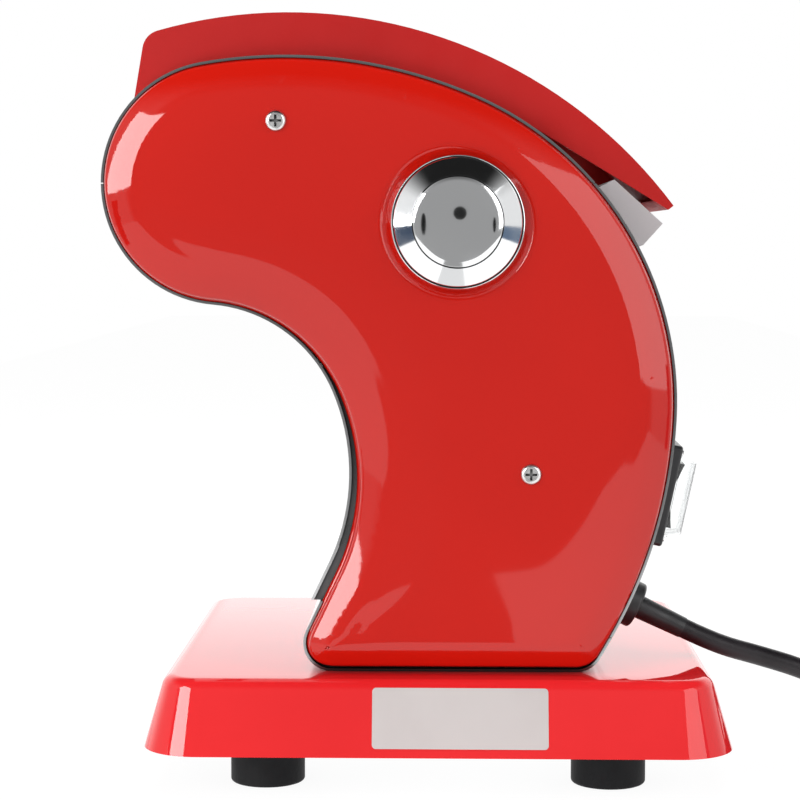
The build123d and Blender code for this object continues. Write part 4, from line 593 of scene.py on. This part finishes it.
# ==== working parts ====
# Polished press rollers and grooved cutters, steel and nylon gears on the far side, sheet guides
# that lead the dough out, and a motor lying between the frames.
roller_steel = finish("roller_steel", (0.82, 0.82, 0.83), 0.12, 1.0)
roughness_drift(roller_steel, 0.08, 0.2, 50.0, (1.0, 14.0, 1.0))
relief(roller_steel, 500.0, 0.00002, (1.0, 12.0, 1.0))
dress(roller_steel, "fixed_press_roller", "adjustable_press_roller", "narrow_cutter_right",
      "narrow_cutter_left", "wide_cutter_right", "wide_cutter_left")
gear_steel = finish("gear_steel", (0.42, 0.42, 0.44), 0.36, 1.0)
colour_drift(gear_steel, (0.34, 0.34, 0.36), (0.50, 0.50, 0.51), 90.0)
roughness_drift(gear_steel, 0.28, 0.5, 120.0)
dress(gear_steel, "fixed_roller_gears", "adjustable_roller_gear", "narrow_right_gears", "narrow_left_gear",
      "wide_right_gears", "wide_left_gear", "compound_gear", "motor_rotor")
nylon = finish("gear_nylon", (0.80, 0.78, 0.70), 0.42, Subsurface_Weight=0.15)
colour_drift(nylon, (0.76, 0.74, 0.66), (0.84, 0.82, 0.75), 60.0)
dress(nylon, "idler_gear_1", "idler_gear_2")
motor_paint = finish("motor_paint", (0.03, 0.03, 0.032), 0.45)
colour_drift(motor_paint, (0.025, 0.025, 0.027), (0.05, 0.05, 0.052), 50.0)
relief(motor_paint, 600.0, 0.00005)
dress(motor_paint, "motor_housing", "motor_end_cap")
ferrite = finish("magnet_ferrite", (0.09, 0.09, 0.095), 0.6)
colour_drift(ferrite, (0.07, 0.07, 0.075), (0.12, 0.12, 0.125), 200.0)
dress(ferrite, "stator_magnets")


# ==== stainless band ====
# Four panels of bright stainless sheet wrap the head between the two side covers and stand a little
# proud of them. Dough goes in and out through slots cut in them. The bracket on the rear one is brushed.
bright_sheet = finish("bright_stainless", (0.78, 0.78, 0.79), 0.16, 1.0)
colour_drift(bright_sheet, (0.74, 0.74, 0.75), (0.82, 0.82, 0.83), 18.0)
roughness_drift(bright_sheet, 0.10, 0.22, 40.0, (1.0, 10.0, 1.0))
relief(bright_sheet, 260.0, 0.00002, (1.0, 10.0, 1.0))
# Painted shade: the band's colour is darkened where it faces a near part, as in the deep gap between band
# and cover.
paint_recess_shade(bright_sheet, 0.006, 2.5)
dress(bright_sheet, "top_band", "front_band", "rear_band", "bottom_band", "sheet_guides", "noodle_guides",
      "index_plate")
brushed_bracket = finish("brushed_bracket", (0.60, 0.56, 0.57), 0.45, 1.0)
dress(brushed_bracket, "hood_bracket", "bracket_rivets")


# ==== side covers ====
# Each side cover is one deep pressing of sheet steel, enamelled glossy red: a rolled rim, a wide
# soft shoulder and a face with a slight crown. The dial side has a round dish for the dial, and
# its normals face inwards, so its wall lies outside the heights given here.
LEG_TOP = (0.0734, 0.058)
LEG_HEADING = 60.6
ARCS = ((0.190, 26.8), (0.127, 69.0), (0.182, 33.5), (0.045, 165.3), (-0.059, 62.4), (-0.085, 48.5))
ARC_STEP = 0.0016
COVER_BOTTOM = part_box("knob_side_cover")[0].z
COVER_RIM = 0.077
COVER_FACE = 0.091
COVER_CORNER = 0.010
BEAD_HEIGHT = 0.0008
BEAD_WIDTH = 0.0015
WALL_AT = 0.00162
CORNER_RADIUS = 0.0012
DIAL_SIDE_DOME = (0.0062, 0.030)
GEAR_SIDE_DOME = (0.0030, 0.014)
DOME_POWER = 2.77
RIM_RINGS = (0.00012, 0.0004, 0.00075, 0.0011, 0.0014, 0.00150, 0.00162, 0.00168, 0.0018, 0.0020, 0.00225,
             0.0026, 0.0031, 0.0038, 0.0047, 0.0059, 0.0073, 0.0090)
SAMPLE_STEP = 0.0004
GRID_STEP = 0.0016
DISH_STEP = 0.001
DISH_OUTER, DISH_INNER, DISH_FLOOR = 0.0304, 0.0242, 0.0885
DIAL = (0.0153, 0.218)
COVER_WALL = 0.0010
HEIGHT_STEP = 0.001
SMOOTHING_ROUNDS = 160
MAPPED_BETWEEN = (0.0095, 0.0170)
NEARLY = 0.0001
CUT_REACH = 0.00001
COVER_CORNER_STEPS = 12


def walk(start, heading, arcs, stand, step):
    """Points along tangent arcs from a start point; a negative radius bends the other way."""
    points = [start]
    x, z = start
    for radius, turn in arcs:
        side = math.copysign(1.0, radius)
        radius = abs(radius) + side * stand
        count = max(4, round(math.radians(turn) * radius / step))
        centre_x = x - side * radius * math.sin(math.radians(heading))
        centre_z = z + side * radius * math.cos(math.radians(heading))
        for index in range(1, count + 1):
            angle = math.radians(heading - side * 90.0 + side * turn * index / count)
            points.append((centre_x + radius * math.cos(angle), centre_z + radius * math.sin(angle)))
        heading += side * turn
        x, z = points[-1]
    return points, heading


def side_outline(bottom):
    """The machine's side outline as points, from the rear corner up, over and down to the front."""
    points, heading = walk(LEG_TOP, LEG_HEADING, ARCS, 0.0, ARC_STEP)
    rear_run = (LEG_TOP[1] - bottom) / math.tan(math.radians(LEG_HEADING))
    front_run = (points[-1][1] - bottom) / math.tan(math.radians(heading))
    return [(LEG_TOP[0] - rear_run, bottom), *points, (points[-1][0] - front_run, bottom)]


def cover_height(reach, rise, width):
    """How far a cover stands out at a distance in from its edge: bead, wall, corner, then dome."""
    if reach <= BEAD_WIDTH:
        across = min(1.0, abs(2 * reach / BEAD_WIDTH - 1))
        return COVER_RIM + BEAD_HEIGHT * math.sqrt(1 - across ** 2)
    slope = rise * DOME_POWER / width
    turn = math.atan2(1.0, slope)
    corner_end = WALL_AT + CORNER_RADIUS * (1 - math.cos(turn))
    if reach < corner_end:
        lean = math.acos(1 - max(0.0, reach - WALL_AT) / CORNER_RADIUS)
        return COVER_FACE - rise - CORNER_RADIUS * (math.sin(turn) - math.sin(lean))
    return COVER_FACE - rise * max(0.0, 1 - (reach - corner_end) / width) ** DOME_POWER


def height_map(nearest, low, high, dome):
    """Heights of the face on a square grid, smoothed where shoulders from two sides meet."""
    columns = int((high[0] - low[0]) / HEIGHT_STEP) + 2
    rows = int((high[1] - low[1]) / HEIGHT_STEP) + 2
    reach = numpy.array([[nearest.find((low[0] + column * HEIGHT_STEP, 0.0, low[1] + row * HEIGHT_STEP))[2]
                          for row in range(rows)] for column in range(columns)])
    heights = numpy.vectorize(cover_height)(reach, *dome)
    soft = reach > RIM_RINGS[-1]
    soft[0, :] = soft[-1, :] = soft[:, 0] = soft[:, -1] = False
    for _ in range(SMOOTHING_ROUNDS):
        around = sum(numpy.roll(heights, turn, axis) for turn in (-1, 1) for axis in (0, 1)) / 4
        heights = numpy.where(soft, (heights + around) / 2, heights)
    return heights


def height_at(heights, low, x, z):
    """The height of the face at a point, between the four grid points round it."""
    column, across = divmod((x - low[0]) / HEIGHT_STEP, 1.0)
    row, up = divmod((z - low[1]) / HEIGHT_STEP, 1.0)
    column, row = int(column), int(row)
    near = heights[column, row] * (1 - up) + heights[column, row + 1] * up
    far = heights[column + 1, row] * (1 - up) + heights[column + 1, row + 1] * up
    return near * (1 - across) + far * across


def cover(side, dome, dished):
    """One side cover; side is -1 for the dial side and 1 for the gear side."""
    shape = bmesh.new()
    outline = side_outline(COVER_BOTTOM)
    shape.faces.new([shape.verts.new((x, 0.0, z)) for x, z in outline])
    feet = [vert for vert in shape.verts if vert.co.z < COVER_BOTTOM + NEARLY]
    round_corners(shape, feet, COVER_CORNER, COVER_CORNER_STEPS)
    inner = shape.faces[:]
    edge_points = [vert.co.copy() for vert in inner[0].verts]
    samples = []
    for first, second in zip(edge_points, edge_points[1:] + edge_points[:1]):
        count = max(1, round((second - first).length / SAMPLE_STEP))
        samples.extend(first.lerp(second, share / count) for share in range(count))
    low = (min(point.x for point in edge_points), min(point.z for point in edge_points))
    high = (max(point.x for point in edge_points), max(point.z for point in edge_points))
    nearest = kdtree.KDTree(len(samples))
    for index, sample in enumerate(samples):
        nearest.insert(sample, index)
    nearest.balance()
    heights = height_map(nearest, low, high, dome)
    gone = 0.0
    for vert in inner[0].verts:
        vert.co.y = COVER_RIM
    for ring in RIM_RINGS:
        bmesh.ops.inset_region(shape, faces=inner, thickness=ring - gone, use_even_offset=True,
                               use_boundary=True)
        gone = ring
        for vert in inner[0].verts:
            vert.co.y = cover_height(ring, *dome)
    for axis, place, end, dial in ((0, low[0], high[0], DIAL[0]), (2, low[1], high[1], DIAL[1])):
        while place < end:
            near_dish = dished and abs(place - dial) < DISH_OUTER + GRID_STEP
            place += DISH_STEP if near_dish else GRID_STEP
            spot, normal = Vector((0, 0, 0)), Vector((0, 0, 0))
            spot[axis], normal[axis] = place, 1.0
            everything = shape.verts[:] + shape.edges[:] + shape.faces[:]
            bmesh.ops.bisect_plane(shape, geom=everything, plane_co=spot, plane_no=normal, dist=CUT_REACH)
    for vert in shape.verts:
        reach = nearest.find((vert.co.x, 0.0, vert.co.z))[2]
        if reach > RIM_RINGS[-1] + NEARLY:
            mapped = ease(reach, *MAPPED_BETWEEN)
            vert.co.y = (1 - mapped) * cover_height(reach, *dome)
            vert.co.y += mapped * height_at(heights, low, vert.co.x, vert.co.z)
    for vert in shape.verts:
        if dished:
            radius = math.hypot(vert.co.x - DIAL[0], vert.co.z - DIAL[1])
            dish = 1 - ease(radius, DISH_INNER, DISH_OUTER)
            vert.co.y += (DISH_FLOOR - vert.co.y) * dish
        vert.co.y *= side
    return shape


cover_enamel = finish("cover_enamel", (0.61, 0.0105, 0.0045), 0.32, Coat_Weight=1.0, Coat_Roughness=0.045,
                      Coat_IOR=1.5, Specular_IOR_Level=0.0)
colour_drift(cover_enamel, (0.59, 0.0098, 0.0042), (0.63, 0.0112, 0.0048), 7.0)
relief(cover_enamel, 16.0, 0.00010, coat=True)
for name, side, dome, dished in (("knob_side_cover", -1, DIAL_SIDE_DOME, True),
                                 ("gear_side_cover", 1, GEAR_SIDE_DOME, False)):
    made = piece(name + "_pressing", cover(side, dome, dished), "root", "enamel_red", cover_enamel, name,
                 sharp=60.0)
    wall(made, COVER_WALL)
dress(screw_steel, "cover_screws")


# ==== thickness dial ====
# A turned and plated knob: a skirt, a wide bevel and a domed face. It is pulled out against its
# spring and turned to set the gap of the press rollers.
KNOB_PROFILE = ((0.0226, 0.0892), (0.0228, 0.0890), (0.0230, 0.0891), (0.0249, 0.0947),
                (0.0251, 0.0952), (0.0251, 0.0957), (0.02506, 0.09585), (0.02495, 0.09596),
                (0.0248, 0.0960), (0.02465, 0.09596), (0.0245, 0.0958), (0.0244, 0.0948),
                (0.0241, 0.0948), (0.0241, 0.0966), (0.0239, 0.0969), (0.01735, 0.1014),
                (0.0172, 0.1013), (0.01705, 0.1010), (0.0169, 0.1014), (0.0168, 0.1020))
KNOB_DOME_RADIUS = 0.090
KNOB_TOP = 0.1038
DOME_STEPS = 16
KNOB_TURNS = 128
knob = bmesh.new()
dome = []
for step in range(DOME_STEPS):
    radius = KNOB_PROFILE[-1][0] * (1 - (step + 1) / DOME_STEPS)
    sink = KNOB_DOME_RADIUS - math.sqrt(KNOB_DOME_RADIUS ** 2 - radius ** 2)
    dome.append((radius, KNOB_TOP - sink))
turned = [knob.verts.new((DIAL[0] + radius, -height, DIAL[1])) for radius, height in (*KNOB_PROFILE, *dome)]
profile_edges = [knob.edges.new(pair) for pair in zip(turned, turned[1:])]
bmesh.ops.spin(knob, geom=turned + profile_edges, cent=(DIAL[0], 0, DIAL[1]), axis=(0, 1, 0),
               angle=2 * math.pi, steps=KNOB_TURNS, use_merge=True)
bmesh.ops.remove_doubles(knob, verts=knob.verts, dist=0.000005)
bmesh.ops.contextual_create(knob, geom=[edge for edge in knob.edges if edge.is_boundary])
plated = finish("knob_plating", (0.86, 0.87, 0.88), 0.07, 1.0)
roughness_drift(plated, 0.05, 0.12, 70.0)
relief(plated, 40.0, 0.00002)
# Painted shade: the plating's colour is darkened in the fine groove of the bevel and other tight recesses.
paint_recess_shade(plated, 0.001, 1.5)
piece("dial_knob_plated", knob, "knob", "knob_chrome", plated, "dial_knob", sharp=18.0)


# ==== hood ====
# A folded sheet hood, powder coated a darker red, sits over the top of the head. Its rear lip lies
# over a bracket that is riveted to the band.
powder = finish("hood_powder_coat", (0.50, 0.011, 0.009), 0.5, Specular_IOR_Level=0.15)
colour_drift(powder, (0.47, 0.010, 0.009), (0.53, 0.012, 0.011), 12.0)
roughness_drift(powder, 0.42, 0.52, 90.0)
relief(powder, 900.0, 0.00003)
dress(powder, "feed_hood")


# ==== switch ====
# A black rocker switch snapped into the back of the band, under a clear soft boot that keeps
# flour and water out.
dress(moulded_black, "switch_body")
rocker_black = finish("rocker_black", (0.014, 0.014, 0.015), 0.24)
roughness_drift(rocker_black, 0.2, 0.32, 220.0)
dress(rocker_black, "switch_rocker")
clear_vinyl = finish("clear_vinyl", (0.96, 0.97, 0.97), 0.08, IOR=1.4)
clear_vinyl.node_tree.nodes["Principled BSDF"].inputs["Transmission Weight"].default_value = 1.0
roughness_drift(clear_vinyl, 0.04, 0.14, 120.0)
relief(clear_vinyl, 120.0, 0.0001)
dress(clear_vinyl, "switch_boot")
